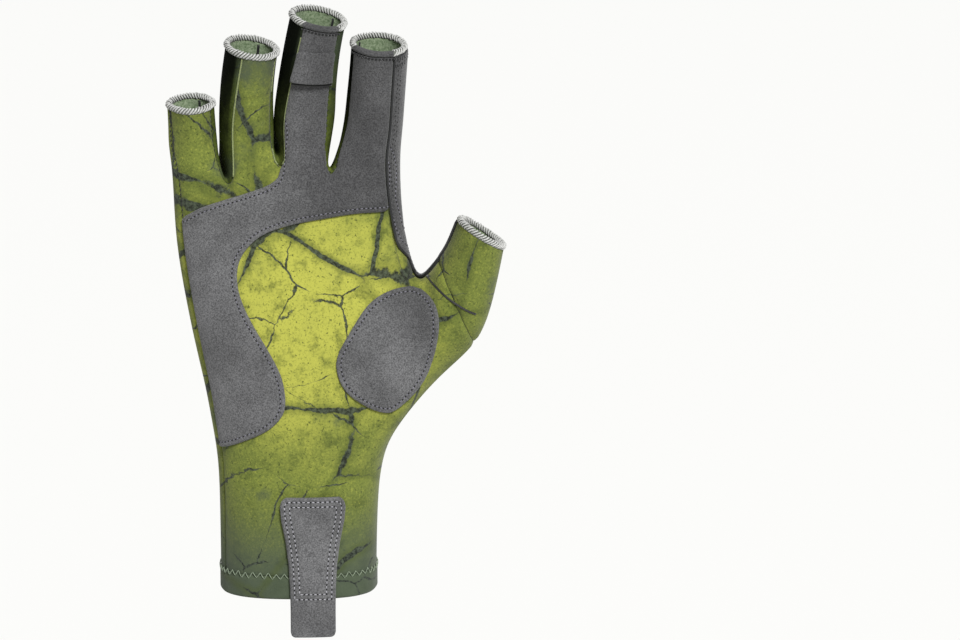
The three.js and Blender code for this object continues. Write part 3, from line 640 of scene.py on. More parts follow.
def make_piece(name, points, polygons, finishes, materials):
    """A mesh object in metres that rides on the glove."""
    mesh = bpy.data.meshes.new(name)
    mesh.from_pydata((np.asarray(points) * MM).tolist(), [], polygons)
    for material in materials:
        mesh.materials.append(material)
    mesh.polygons.foreach_set("material_index", finishes)
    mesh.polygons.foreach_set("use_smooth", [True] * len(polygons))
    mesh.update()
    piece = bpy.data.objects.new(name, mesh)
    bpy.context.scene.collection.objects.link(piece)
    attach(piece, "root")
    return piece


print("sheets can be cut, trimmed and thickened")

# %% [markdown]
# ## Finishes
#
# Colours are given as sRGB hex and turned to linear. Every pattern is drawn in the frame's own
# coordinates, in millimetres, so that it runs on over the seams as the print of one roll does.

# %% Helpers for materials
def linear(code):
    """A colour for a socket from an sRGB hex value."""
    parts = [int(code[k:k + 2], 16) / 255 for k in (1, 3, 5)]
    return (*(v / 12.92 if v < 0.04045 else ((v + 0.055) / 1.055) ** 2.4 for v in parts), 1.0)


def add(tree, kind, *values, output=None, **named):
    """Adds a node and returns its first output in use, or the one that is named.

    Values fill the inputs in use in their order, or by name. Names in small letters are settings.
    A value is a number, a vector, a hex colour or the output of another node.
    """
    node = tree.nodes.new("ShaderNode" + kind)
    for name in filter(str.islower, named):
        setattr(node, name, named[name])
    pairs = list(zip([socket for socket in node.inputs if socket.enabled], values))
    pairs += [(node.inputs[name], value) for name, value in named.items() if not name.islower()]
    for socket, value in pairs:
        if isinstance(value, bpy.types.NodeSocket):
            tree.links.new(value, socket)
        else:
            socket.default_value = linear(value) if isinstance(value, str) else value
    return node.outputs[output] if output else next(s for s in node.outputs if s.enabled)


SMOOTHLY = {"interpolation_type": "SMOOTHSTEP"}  # for a map range that starts and ends gently
COLOURS = {"data_type": "RGBA"}  # for a mix of two colours


def start_material(name, **surface):
    """A material with its shader, and coordinates in millimetres of the frame."""
    material = bpy.data.materials.new(name)
    material.use_nodes = True
    tree = material.node_tree
    shader = tree.nodes["Principled BSDF"]
    for socket, value in surface.items():
        shader.inputs[socket.replace("_", " ")].default_value = value
    place = add(tree, "TexCoord", output="Object")
    return material, tree, shader, add(tree, "VectorMath", place, (1 / MM,) * 3, operation="MULTIPLY")


def finish_material(tree, shader, colour, height, depth):
    """Links the colour, and bumps the surface by this many millimetres where the height is 1."""
    tree.links.new(colour, shader.inputs["Base Color"])
    bump = add(tree, "Bump", Height=height, Strength=1.0, Distance=depth * MM)
    tree.links.new(bump, shader.inputs["Normal"])


print("sRGB #808080 is", round(linear("#808080")[0], 4), "in linear light")

# %% [markdown]
# ### Printed stretch knit
#
# The shell is polyester knit with a heat-transfer print of dry cracked ground: yellow in the middle of
# the palm, olive towards the fingers and the wrist, mottled and speckled, with dark slate cracks. Broad
# cracks are the cell walls of a large Voronoi pattern and hairlines those of a smaller one. Noise bends
# and frays them, and their width comes and goes, so that they branch and die out. Depth counts less than
# height and width in the pattern, because the roll was printed flat.

# %% Printed knit
GLOW_ACROSS, GLOW_UP, GLOW_WIDE, GLOW_TALL = 4, 124, 46, 51  # the brightest place of the print


def wander(tree, at, size, reach, detail):
    """Coordinates pushed about by noise: blots of this size, pushed this far."""
    push = add(tree, "TexNoise", at, 1 / size, detail, 0.6, output="Color")
    push = add(tree, "VectorMath", push, (0.5, 0.5, 0.5), operation="SUBTRACT")
    return add(tree, "VectorMath", push, (reach, reach, reach), at, operation="MULTIPLY_ADD")


def walls(tree, at, size, seed):
    """Distance in millimetres from the cell walls of a Voronoi pattern."""
    at = add(tree, "VectorMath", at, (seed, 0, seed), operation="ADD")
    cells = add(tree, "TexVoronoi", at, 1 / size, feature="DISTANCE_TO_EDGE")
    return add(tree, "Math", cells, size, operation="MULTIPLY")


def ragged(tree, value, blots, reach):
    """A value that noise pushes up and down, by up to half the reach."""
    push = add(tree, "Math", blots, 0.5, operation="SUBTRACT")
    return add(tree, "Math", push, reach, value, operation="MULTIPLY_ADD")


def printed_knit(name, bright, olive, deep, tone=1.0, seed=0.0, shaded=0.0):
    """The print on knit: its colour in the middle, at the fingers and in the dark ends; with shaded,
    painted shade as well.
    """
    sheen, shine = (0.0, 0.05) if shaded else (0.1, 0.2)
    material, tree, shader, at = start_material(
        name, Roughness=0.9, Sheen_Weight=sheen, Specular_IOR_Level=shine)
    x, y, z = add(tree, "SeparateXYZ", at).node.outputs
    blots = add(tree, "TexNoise", at, 1 / 30, 4, 0.6)
    mottle = add(tree, "TexNoise", at, 1 / 7, 5, 0.68)
    grain = add(tree, "TexNoise", at, 1 / 0.9, 3, 0.75)

    # ground: bright in the middle, with ragged blots
    across = add(tree, "Math", x, GLOW_ACROSS, operation="SUBTRACT")
    across = add(tree, "Math", across, GLOW_WIDE, operation="DIVIDE")
    up = add(tree, "Math", z, GLOW_UP, operation="SUBTRACT")
    up = add(tree, "Math", up, GLOW_TALL, operation="DIVIDE")
    squares = [add(tree, "Math", way, 2, operation="POWER") for way in (across, up)]
    off = add(tree, "Math", add(tree, "Math", *squares, operation="ADD"), operation="SQRT")
    off = ragged(tree, ragged(tree, off, blots, 1.3), mottle, 0.8)
    share = add(tree, "MapRange", off, 0.35, 1.5, **SMOOTHLY)
    colour = add(tree, "Mix", share, bright, olive, **COLOURS)
    for source, low, high, most, ink in (
        (mottle, 0.48, 0.74, 0.7, deep),
        (grain, 0.5, 0.74, 0.42, bright),
        (grain, 0.5, 0.28, 0.65, deep),
        (add(tree, "TexNoise", at, 1 / 1.3, 2, 0.6), 0.63, 0.7, 0.8, "#3a431c"),  # specks
    ):
        share = add(tree, "MapRange", source, low, high, 0, most, **SMOOTHLY)
        colour = add(tree, "Mix", share, colour, ink, **COLOURS)

    # smoke: slate patches, and the dark ends at the wrist and the tips
    at_back = add(tree, "MapRange", y, -4, 8, **SMOOTHLY)
    height = ragged(tree, z, mottle, 30)
    wrist_end = add(tree, "MapRange", at_back, 0, 1, 50, 84)
    wrist = add(tree, "MapRange", height, 8, wrist_end, 0.95, 0, **SMOOTHLY)
    tips = add(tree, "MapRange", height, 205, 233, **SMOOTHLY)
    tips = add(tree, "Math", tips, add(tree, "MapRange", at_back, 0, 1, 0.85, 0.95), operation="MULTIPLY")
    patches = add(tree, "TexNoise", at, 1 / 24, 4, 0.6)
    patches = add(tree, "MapRange", patches, 0.57, 0.72, **SMOOTHLY)
    outward = add(tree, "MapRange", off, 0.6, 1.4, 0.1, 0.7, **SMOOTHLY)
    patches = add(tree, "Math", patches, outward, operation="MULTIPLY")
    slate = add(tree, "Mix", mottle, "#2e382b", "#4e5848", **COLOURS)
    smoke = add(tree, "Math", wrist, tips, operation="MAXIMUM")
    smoke = add(tree, "Math", smoke, patches, operation="MAXIMUM")
    colour = add(tree, "Mix", smoke, colour, slate, **COLOURS)

    # cracks: each pattern's walls, less a width that comes and goes
    flat = add(tree, "VectorMath", at, (1, 0.3, 1), operation="MULTIPLY")
    bent = wander(tree, wander(tree, flat, 40, 16, 1), 3.2, 2.2, 3)
    broad, fine = walls(tree, bent, 58, 20 + seed), walls(tree, bent, 33, 64 + seed)
    gaps = []
    for wall, blot, low, high, widest in ((broad, 26, 0.38, 0.66, 1.15), (fine, 21, 0.4, 0.6, 0.26)):
        width = add(tree, "TexNoise", at, 1 / blot, 1)
        width = add(tree, "MapRange", width, low, high, -0.25, widest, **SMOOTHLY)
        gaps.append(add(tree, "Math", wall, width, operation="SUBTRACT"))
    stain = add(tree, "MapRange", gaps[0], 0.1, 2.6, 0.45, 0, **SMOOTHLY)
    colour = add(tree, "Mix", stain, colour, deep, **COLOURS)
    broad = add(tree, "MapRange", gaps[0], -0.25, 0.25, 1, 0, **SMOOTHLY)
    fine = add(tree, "MapRange", gaps[1], -0.05, 0.26, 1, 0, **SMOOTHLY)
    cracks = add(tree, "Math", broad, fine, operation="MAXIMUM")
    dust = add(tree, "TexNoise", at, 1 / 1.5, 3, 0.7)
    dust = add(tree, "MapRange", dust, 0.35, 0.68, **SMOOTHLY)
    dust = add(tree, "Mix", dust, "#111516", "#454d40", **COLOURS)
    cracks = add(tree, "Math", cracks, 0.94, operation="MULTIPLY")
    colour = add(tree, "Mix", cracks, colour, dust, **COLOURS)

    if shaded:  # painted shade: the sides of the fingers that face the little finger are painted near black, most near the tips
        turned = add(tree, "SeparateXYZ", add(tree, "NewGeometry", output="Normal"))
        share = add(tree, "MapRange", turned, 0.1, -0.5, **SMOOTHLY)
        raised = add(tree, "MapRange", height, 172, 222, 0.35, 1, **SMOOTHLY)
        share = add(tree, "Math", share, raised, operation="MULTIPLY")
        share = add(tree, "Math", share, shaded, operation="MULTIPLY")
        colour = add(tree, "Mix", share, colour, "#040602", **COLOURS)
    colour = add(tree, "Mix", 1.0, colour, (tone, tone, tone, 1), blend_type="MULTIPLY", **COLOURS)

    # knit: wales too fine to see are drawn as grain of about half a millimetre
    finish_material(tree, shader, colour, add(tree, "TexNoise", at, 1 / 0.6, 2, 0.6), 0.12)
    return material


knit = printed_knit("printed_polyester_knit", "#a4a546", "#667030", "#414b1f")
# the strips between the fingers: a darker copy of the print, painted shade
strip_print_in_shade = printed_knit("print_of_the_strips_in_painted_shade", "#75803a", "#4a5525", "#262d12", 0.82, 31, 0.97)
print("printed knit:", len(knit.node_tree.nodes), "nodes")

# %% [markdown]
# ### Microfibre, lining and threads
#
# The grey patches are brushed microfibre: matt, with a nap that looks like fine salt and pepper. The
# inside of the knit is its plain white back, which the print shines through as a dull grey-green.
# Overlock thread is fluffy textured polyester, light grey. Sewing thread is smoother.

# %% Microfibre, lining and threads
def microfibre(name, base, dark, light):
    material, tree, shader, at = start_material(
        name, Roughness=0.95, Sheen_Weight=0.18, Sheen_Roughness=0.5, Specular_IOR_Level=0.2)
    x, y, z = add(tree, "SeparateXYZ", at).node.outputs
    nap = add(tree, "TexNoise", at, 1 / 0.6, 3, 0.75)
    broad = add(tree, "TexNoise", at, 1 / 22, 4, 0.6)
    colour = add(tree, "Mix", add(tree, "MapRange", nap, 0.32, 0.68, **SMOOTHLY), dark, light, **COLOURS)
    colour = add(tree, "Mix", 0.35, colour, base, **COLOURS)

    # it is brushed one way here and another there, and towards the index finger it is darkened with
    # painted shade
    tone = add(tree, "MapRange", broad, 0.3, 0.7, 0.72, 1.14, **SMOOTHLY)
    toward_index = [add(tree, "MapRange", way, low, high, **SMOOTHLY)
                    for way, low, high in ((x, -10, 18), (z, 108, 150), (y, 6, -6))]
    # painted shade, darkest on the front towards the index finger
    index_painted_shade = add(tree, "Math", *toward_index[:2], operation="MULTIPLY")
    index_painted_shade = add(tree, "Math", index_painted_shade, toward_index[2], operation="MULTIPLY")
    index_painted_shade = add(tree, "MapRange", index_painted_shade, 0, 1, 1.0, 0.66, **SMOOTHLY)
    tone = add(tree, "Math", tone, index_painted_shade, operation="MULTIPLY")
    tone = add(tree, "CombineXYZ", tone, tone, tone)
    colour = add(tree, "Mix", 1.0, colour, tone, blend_type="MULTIPLY", **COLOURS)
    finish_material(tree, shader, colour, nap, 0.22)
    return material


def grainy(name, dark, light, size, detail, rough, depth, **surface):
    """A finish with a fine grain of two colours that also bumps it: plain knit, or twisted yarn."""
    material, tree, shader, at = start_material(name, **surface)
    grain = add(tree, "TexNoise", at, 1 / size, detail, rough)
    share = add(tree, "MapRange", grain, 0.3, 0.7, **SMOOTHLY)
    finish_material(tree, shader, add(tree, "Mix", share, dark, light, **COLOURS), grain, depth)
    return material


def thread(name, dark, light, roughness=0.6):
    """Twisted yarn: its plies show as light and dark along it."""
    return grainy(name, dark, light, 0.35, 2, 0.6, 0.05, Roughness=roughness, Sheen_Weight=0.2)


suede = microfibre("brushed_grey_microfibre", "#565657", "#323233", "#79797a")
lining = grainy("back_of_the_knit", "#5e7350", "#9aa98a", 1.0, 3, 0.7, 0.15,
                Roughness=0.95, Sheen_Weight=0.1)
overlock_yarn = thread("light_grey_overlock_yarn", "#8e8f8c", "#cfcfcc", 0.8)
edge_core = thread("shadowed_edge_of_the_cloth", "#474b45", "#74786f", 0.9)
grey_thread = thread("grey_sewing_thread", "#5a5962", "#7d7b87")
# black sewing thread, and the black of cords and seam allowances that are painted shade
black_for_thread_and_shade = thread("black_for_sewing_thread_and_painted_shade", "#070808", "#17181a")
# near black: painted shade in needle holes, and the dark stitches of the guard and the lips
shade_of_holes_and_dark_stitch = thread("painted_shade_of_holes_and_dark_stitches", "#060607", "#141416", 1.0)
pale_thread = thread("pale_green_zigzag_thread", "#5f6d55", "#8b9881")
tab_thread = thread("light_grey_tab_thread", "#85848a", "#b1b0b6")
# a pale line of painted highlight along some seams
painted_seam_highlight = thread("pale_raw_edge_of_the_knit", "#59643a", "#8f9863", 0.9)
print(len(bpy.data.materials), "materials")

# %% [markdown]
# ## Shell
#
# The knit is 1.2 mm thick. Along a seam the two pieces are turned in and drawn together, so the cloth
# dips there and each edge is rounded. The fingers' strips get a darker copy of the print: painted shade.

# %% Shell pieces
SEAM_GAP = 0.07  # how far a piece stays back from its seam
SEAM_DIP, SEAM_SPREAD = 0.55, 1.5


def dip(rows):
    """How far the cloth is drawn in beside a seam."""
    return -SEAM_DIP * np.exp(-((rows[:, SEAM] / SEAM_SPREAD) ** 2))


def shoulder(rows, reach):
    """From 0 on a sheet's edge to 1 at the end of its rounded shoulder."""
    return np.sqrt(np.maximum(0, 1 - (1 - np.clip(rows[:, EDGE] / reach, 0, 1)) ** 2))


def shell_top(rows):
    return dip(rows) - 0.45 * (1 - shoulder(rows, 0.7))


def shell_bottom(rows):
    return 0.5 * dip(rows) - FABRIC


def shell_sheet(name):
    sheet = Sheet(skin_points, skin_normals, skin_faces[face_cloth == name], skin_seam, inset=SEAM_GAP)
    for level in (0.25, 0.6, 1.1, 1.8):
        sheet.cut(EDGE, level)
    return sheet


SHELL = {"back_panel": knit, "palm_panel": knit, "thumb_sleeve": knit}
for number in range(len(FINGERS) - 1):
    SHELL[f"{FINGER_NAMES[number]}_{FINGER_NAMES[number + 1]}_fourchette"] = strip_print_in_shade
shell_sheets = {}
for name, material in SHELL.items():
    sheet = shell_sheets[name] = shell_sheet(name)
    piece = make_piece(name + ".cloth", *sheet.solid(shell_top, shell_bottom), [material, lining])
    # the CAD model has the front of the ring and little fingers as a node of its own
    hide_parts(*((name, "ring_little_front") if name == "palm_panel" else (name,)))
    print(name, len(piece.data.polygons), "polygons")

# %% [markdown]
# ## Hem
#
# The cuff's edge is turned in once and caught with a zigzag stitch, so it is two layers thick with a
# round fold at the bottom.

# %% Hem
HEM_OUT, HEM_IN, FOLD_RADIUS = 0.35, 1.7, 1.1


def hem_round(rows):
    return np.sqrt(np.maximum(0, 1 - (1 - np.clip(rows[:, Z] / FOLD_RADIUS, 0, 1)) ** 2))


def hem_top(rows):
    step = HEM_OUT * smooth(rows[:, EDGE], 0, 1.2)
    return mix(-(HEM_IN - HEM_OUT) / 2, step, hem_round(rows))


def hem_bottom(rows):
    return mix(-(HEM_IN - HEM_OUT) / 2, -HEM_IN, hem_round(rows))


hem_sheet = Sheet(skin_points, skin_normals, skin_faces[face_cloth == "cuff_hem"], inset=0.03)
for level in (0.12, 0.35, 0.7, FOLD_RADIUS):
    hem_sheet.cut(Z, level)
hem = make_piece("cuff_hem.cloth", *hem_sheet.solid(hem_top, hem_bottom), [knit, lining])
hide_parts("cuff_hem")
print("hem", len(hem.data.polygons), "polygons")

# %% [markdown]
# ## Microfibre patches
#
# Each patch is a layer of its own over the knit, cut to an outline that is drawn from the front. Its cut
# edge is rounded over by wear, and the line of stitches sits in a shallow groove about 2 mm inside it.

# %% Outlines of the patches
GRIP_OUTLINE = [
    (-0.62, 0.875), (-0.5, 0.885), (-0.41, 0.911), (-0.296, 0.932), (-0.187, 0.951), (-0.109, 0.967),
    (-0.066, 0.986), (-0.055, 1.03), (-0.055, 1.12), (-0.3, 1.2), (-0.3, 1.5), (0.6, 1.5), (0.6, 0.91),
    (0.395, 0.902), (0.266, 0.899), (0.113, 0.887), (-0.035, 0.871), (-0.147, 0.847), (-0.213, 0.814),
    (-0.244, 0.779), (-0.244, 0.729), (-0.213, 0.68), (-0.17, 0.636), (-0.112, 0.585), (-0.056, 0.525),
    (-0.039, 0.468), (-0.052, 0.436), (-0.109, 0.403), (-0.213, 0.374), (-0.326, 0.351), (-0.62, 0.32),
]
HEEL_OUTLINE = [
    (0.183, 0.56), (0.244, 0.63), (0.343, 0.702), (0.452, 0.727), (0.547, 0.724), (0.61, 0.698),
    (0.631, 0.654), (0.613, 0.584), (0.561, 0.513), (0.474, 0.459), (0.409, 0.44), (0.3, 0.461),
    (0.213, 0.501),
]
GUARD_OUTLINE = [
    (0.8, 0.96), (0.779, 0.893), (0.762, 0.851), (0.748, 0.806), (0.726, 0.763), (0.709, 0.716),
    (0.682, 0.676), (0.639, 0.65), (0.574, 0.641), (0.508, 0.648), (0.46, 0.669), (0.439, 0.707),
    (0.428, 0.749), (0.415, 0.806), (0.39, 0.9), (0.385, 1.03), (0.3, 1.12), (0.2, 1.5), (0.8, 1.5),
]
GUARD_FRONT_CUT = [  # what the guard leaves bare at the front, down to the thumb's crotch
    (0.395, 0.917), (0.419, 0.856), (0.445, 0.822), (0.484, 0.794), (0.513, 0.769), (0.528, 0.755),
    (0.528, 0.7), (0.3, 0.7), (0.3, 0.917),
]
GUARD_SIDE = -1.5  # how far towards the palm that bare part starts
BAND_FOOT, BAND_HEIGHT, BAND_TILT = 1.21, 13.0, 2.0


def rounded(corners, steps=5):
    """The outline in millimetres, with smooth curves through its corners."""
    p = np.array(corners) * (PALM_WIDTH, BODY_LENGTH)
    before, after, beyond = np.roll(p, 1, 0), np.roll(p, -1, 0), np.roll(p, -2, 0)

    def gap(a, b):
        return np.sqrt(np.linalg.norm(b - a, axis=1))[:, None]

    d0, d1, d2 = gap(before, p), gap(p, after), gap(after, beyond)
    leave = ((p - before) / d0 - (after - before) / (d0 + d1) + (after - p) / d1) * d1
    arrive = ((after - p) / d1 - (beyond - p) / (d1 + d2) + (beyond - after) / d2) * d1
    points = []
    for t in np.arange(steps) / steps:
        points.append(p + leave * t + (3 * (after - p) - 2 * leave - arrive) * t**2
                      + (2 * (p - after) + leave + arrive) * t**3)
    return np.stack(points, 1).reshape(-1, 2)


tilt = math.tan(math.radians(BAND_TILT))
band_outline = [(x, BAND_FOOT * BODY_LENGTH + rise - tilt * x)
                for x, rise in ((-30, 0), (50, 0), (50, BAND_HEIGHT), (-30, BAND_HEIGHT))]
print("the grip's outline has", len(rounded(GRIP_OUTLINE)), "points")

# %% Patches
PATCH_LIFT = 0.12  # clear of the knit
STITCH_INSET = 2.0
SHOULDER_CUTS = (0.12, 0.35, 0.8)  # lines beside a patch's edge that carry its rounded shoulder
GUARD_LINES = (1.6, 2.9)  # further lines beside the guard's front edge, for its dark stitches
GROOVE_CUTS = (-0.45, 0, 0.45)  # lines on and beside a row of stitches that carry its groove


def on_front(tag):
    return tag.part == "body" and tag.row > 0 and 0 < tag.column < SIDE - 1


def is_gripped(tag):
    return on_front(tag) or (tag.part in ("middle", "index") and side_of(tag) == "front")


def is_heel(tag):
    return on_front(tag) or (tag.part == "thumb" and tag.row < THUMB_SEAM_ROW and tag.column > HALF_THUMB)


def is_guarded(tag):
    if tag.part == "index":
        return side_of(tag) == "right"
    if tag.part == "thumb":
        return 0 < tag.column < HALF_THUMB
    return tag.part == "body" and tag.row >= THUMB_FROM_ROW and SIDE - 1 <= tag.column <= SIDE + 2


def is_band(tag):
    return tag.part == "middle" and side_of(tag) == "front"


def patch_sheet(picks, outline, inset, rows_in, bare):
    """A patch with its shoulder and stitch lines cut into it."""
    faces = skin_faces[faces_where(picks)]
    sheet = Sheet(skin_points, skin_normals, faces, skin_seam, outline, inset, bare)
    for level in SHOULDER_CUTS + (GUARD_LINES if bare else ()):
        sheet.cut(EDGE, inset + level)
    for level in rows_in:
        for beside in GROOVE_CUTS:
            sheet.cut(DRAWN, level + beside)
    return sheet


def patch_heights(low, thick, inset, rows_in=(STITCH_INSET,)):
    """Functions for the top and the underside of a patch."""
    def top(rows):
        worn = rows.copy()
        worn[:, EDGE] -= inset
        groove = sum(np.exp(-(((rows[:, DRAWN] - level) / 0.4) ** 2)) for level in rows_in)
        return low + dip(rows) + thick * mix(0.35, 1, shoulder(worn, 0.8)) - 0.24 * groove

    def bottom(rows):
        return low + dip(rows)

    return top, bottom


PATCHES = table(
    "name picks outline low inset rows_in bare",
    ("palm_grip", is_gripped, rounded(GRIP_OUTLINE), PATCH_LIFT, 0.35, (STITCH_INSET,), None),
    ("thumb_heel_pad", is_heel, rounded(HEEL_OUTLINE), PATCH_LIFT, 0.0, (STITCH_INSET,), None),
    ("thumb_guard", is_guarded, rounded(GUARD_OUTLINE), PATCH_LIFT, 0.35, (1.8, 4.0),
     (np.array(GUARD_FRONT_CUT) * (PALM_WIDTH, BODY_LENGTH), GUARD_SIDE)),
)
patch_sheets = {}
for patch in PATCHES:
    sheet = patch_sheet(*(patch[key] for key in ("picks", "outline", "inset", "rows_in", "bare")))
    heights = patch_heights(patch["low"], SUEDE, patch["inset"], patch["rows_in"])
    patch_sheets[patch["name"]] = (sheet, heights[0])
    piece = make_piece(patch["name"] + ".cloth", *sheet.solid(*heights), [suede, suede])
    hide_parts(patch["name"])
    print(patch["name"], len(piece.data.polygons), "polygons")

# %% [markdown]
# The band across the middle finger is caught at its top and its sides. Its lower edge is free and
# stands away from the finger, which leaves the dark slit that the photograph shows.

# %% Band of the middle finger
BAND_LOW = PATCH_LIFT + SUEDE + 0.05
BAND_THICK, BAND_LIFT = 0.9, 2.3
BAND_INSET = 0.5
BAND_MIDDLE, BAND_HALF = 6.6, 10.5  # where it stands off most, and how far from there it is caught
band_sheet = Sheet(skin_points, skin_normals, skin_faces[faces_where(is_band)], skin_seam,
                   band_outline, BAND_INSET)
for level in SHOULDER_CUTS:
    band_sheet.cut(EDGE, BAND_INSET + level)


def band_lift(rows):
    """The free edge stands off most in its middle."""
    above = rows[:, Z] - (BAND_FOOT * BODY_LENGTH - tilt * rows[:, X])
    sideways = (rows[:, X] - BAND_MIDDLE) / BAND_HALF
    return BAND_LIFT * np.exp(-above / 4.0) * np.clip(1 - sideways**2, 0.15, 1)


def band_top(rows):
    worn = rows.copy()
    worn[:, EDGE] -= BAND_INSET
    return BAND_LOW + 0.6 * dip(rows) + BAND_THICK * mix(0.25, 1, shoulder(worn, 0.8)) + band_lift(rows)


def band_bottom(rows):
    return BAND_LOW + 0.6 * dip(rows) + band_lift(rows)


band = make_piece("middle_finger_band.cloth", *band_sheet.solid(band_top, band_bottom), [suede, suede])
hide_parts("middle_finger_band")
print("band", len(band.data.polygons), "polygons")

# %% [markdown]
# ## Pull tab
#
# A doubled strip of microfibre that the wearer pulls the cuff on by. It lies on the cuff's front, hangs
# free below the hem, and has two rows of stitches all round its upper part. It isn't part of the skin,
# so it gets a grid of its own that follows the cuff.

# %% Pull tab
TAB_LENGTH, TAB_DROP, TAB_WIDTH, TAB_THICK, TAB_ACROSS = 60.0, 16.0, 27.0, 2.0, 7.2
TAB_COLUMNS, TAB_ROWS = 24, 72
TAB_SHAPE = [  # down the tab, half width; both as shares
    (0, 0.8), (0.012, 0.89), (0.03, 0.955), (0.07, 1), (0.17, 0.96), (0.32, 0.83), (0.48, 0.74),
    (0.64, 0.7), (0.8, 0.69), (0.96, 0.69), (0.985, 0.66), (0.995, 0.61), (1, 0.55),
]


def cuff_front(x, z):
    """Where the cuff's front lies, at this place across and height."""
    share = np.abs(x - BODY_ROWS[0]["shift"] * PALM_WIDTH) / (CUFF_WIDTH / 2)
    taper = smooth(z, HEM_HEIGHT, BODY_ROWS[2]["rise"] * BODY_LENGTH) * BODY_ROWS[2]["thin"]
    half_depth = mix(CUFF_DEPTH, PALM_DEPTH, taper) / 2
    return -half_depth * (1 - share**SQUARENESS) ** (1 / SQUARENESS)


down = np.unique(np.concatenate([np.linspace(0, 1, TAB_ROWS), [d for d, _ in TAB_SHAPE]]))
half = np.interp(down, [d for d, _ in TAB_SHAPE], [h for _, h in TAB_SHAPE]) * TAB_WIDTH / 2
across = np.linspace(-1, 1, TAB_COLUMNS + 1)
tab_x = TAB_ACROSS + half[:, None] * across
tab_z = np.repeat((TAB_LENGTH - TAB_DROP - down * TAB_LENGTH)[:, None], TAB_COLUMNS + 1, 1)
over_hem = smooth(HEM_HEIGHT + 4 - tab_z, 0, 6)
tab_y = cuff_front(tab_x, np.maximum(0, tab_z)) - mix(0.15, HEM_OUT + 0.2, over_hem)
tab_points = np.stack([tab_x, tab_y, tab_z], -1).reshape(-1, 3)
corner = (np.arange(len(down) - 1)[:, None] * (TAB_COLUMNS + 1) + np.arange(TAB_COLUMNS)).ravel()
below = corner + TAB_COLUMNS + 1
tab_quads = np.stack([corner, below, below + 1, corner + 1], 1)
tab_sheet = Sheet(tab_points, normals_of(tab_points, tab_quads), tab_quads)
TAB_STITCHES = table("inset foot", (1.9, 0.6), (4.0, 2.8))
for level in (0.15, 0.45, 0.95):
    tab_sheet.cut(EDGE, level)
for row in TAB_STITCHES:
    for beside in GROOVE_CUTS:
        tab_sheet.cut(EDGE, row["inset"] + beside)
        tab_sheet.cut(Z, row["foot"] + beside)


def tab_top(rows):
    groove = 0
    for row in TAB_STITCHES:
        beside = (rows[:, EDGE] - row["inset"]) / 0.42
        beneath = (rows[:, Z] - row["foot"]) / 0.42
        sides = np.exp(-beside**2) * (rows[:, Z] > row["foot"] - 0.1)
        foot = np.exp(-beneath**2) * (rows[:, EDGE] > row["inset"] - 0.1)
        groove = groove + np.maximum(sides, foot)
    return TAB_THICK * mix(0.45, 1, shoulder(rows, 0.95)) - 0.26 * groove


def tab_bottom(rows):
    return TAB_THICK * 0.45 * (1 - shoulder(rows, 0.95))


tab = make_piece("pull_tab.cloth", *tab_sheet.solid(tab_top, tab_bottom), [suede, suede])
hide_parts("pull_tab")
print("tab", len(tab.data.polygons), "polygons")

# %% [markdown]
# ## Stitches
#
# A stitch is a short rounded length of thread that dives into the cloth at both ends. All the stitches
# of a line are one mesh: they are placed at even steps along a chain of corners, at the height that
# the cloth has there.

# %% Threads
RING_SIDES = 6


def along_chain(chain, heights, step, offset=0.0):
    """Places, normals and directions at even steps along a chain of corners."""
    normals = unit(chain[:, NX:NZ + 1])
    places = chain[:, :3] + normals * heights(chain)[:, None]
    length = np.concatenate([[0], np.cumsum(np.linalg.norm(np.diff(places, axis=0), axis=1))])
    if length[-1] < step:
        return [np.zeros((0, 3))] * 3
    count = max(1, round(length[-1] / step))
    wanted = (np.arange(count) + 0.5) * length[-1] / count + offset
    reach = min(0.4, length[-1] / 4)

    def at(values, s):
        return np.stack([np.interp(s, length, values[:, k]) for k in range(3)], 1)

    ways = unit(at(places, wanted + reach) - at(places, wanted - reach))
    return at(places, wanted), unit(at(normals, wanted)), ways


def tubes(centres, radii):
    """Tubes with closed ends. centres is tube by ring by 3, and radii is one for each ring."""
    count, rings = centres.shape[:2]
    ways = unit(np.gradient(centres, axis=1))
    flat = np.array([0.31, -0.83, 0.46])
    side = unit(np.cross(ways, np.broadcast_to(flat, ways.shape)))
    up = np.cross(side, ways)
    angles = 2 * math.pi * np.arange(RING_SIDES) / RING_SIDES
    circle = side[:, :, None] * np.cos(angles)[:, None] + up[:, :, None] * np.sin(angles)[:, None]
    points = centres[:, :, None] + circle * np.asarray(radii)[..., :, None, None]
    each = rings * RING_SIDES
    one = []
    for ring in range(rings - 1):
        for k in range(RING_SIDES):
            a, b = ring * RING_SIDES + k, ring * RING_SIDES + (k + 1) % RING_SIDES
            one.append([a, b, b + RING_SIDES, a + RING_SIDES])
    caps = [list(range(RING_SIDES))[::-1], list(range(each - RING_SIDES, each))]
    faces = [[v + n * each for v in face] for n in range(count) for face in one + caps]
    return points.reshape(-1, 3), faces


STITCH_RINGS = np.array([-1, -0.8, -0.4, 0, 0.4, 0.8, 1])


def stitch_shapes(places, normals, ways, length, radius, lift=0.1):
    """A capsule for each place, bowed out of the cloth."""
    t = STITCH_RINGS[:, None]
    bow = lift - (lift + radius * 1.2) * t**4
    centres = places[:, None] + ways[:, None] * t * length / 2 + normals[:, None] * bow
    return tubes(centres, radius * np.sqrt(1 - 0.75 * STITCH_RINGS**4))


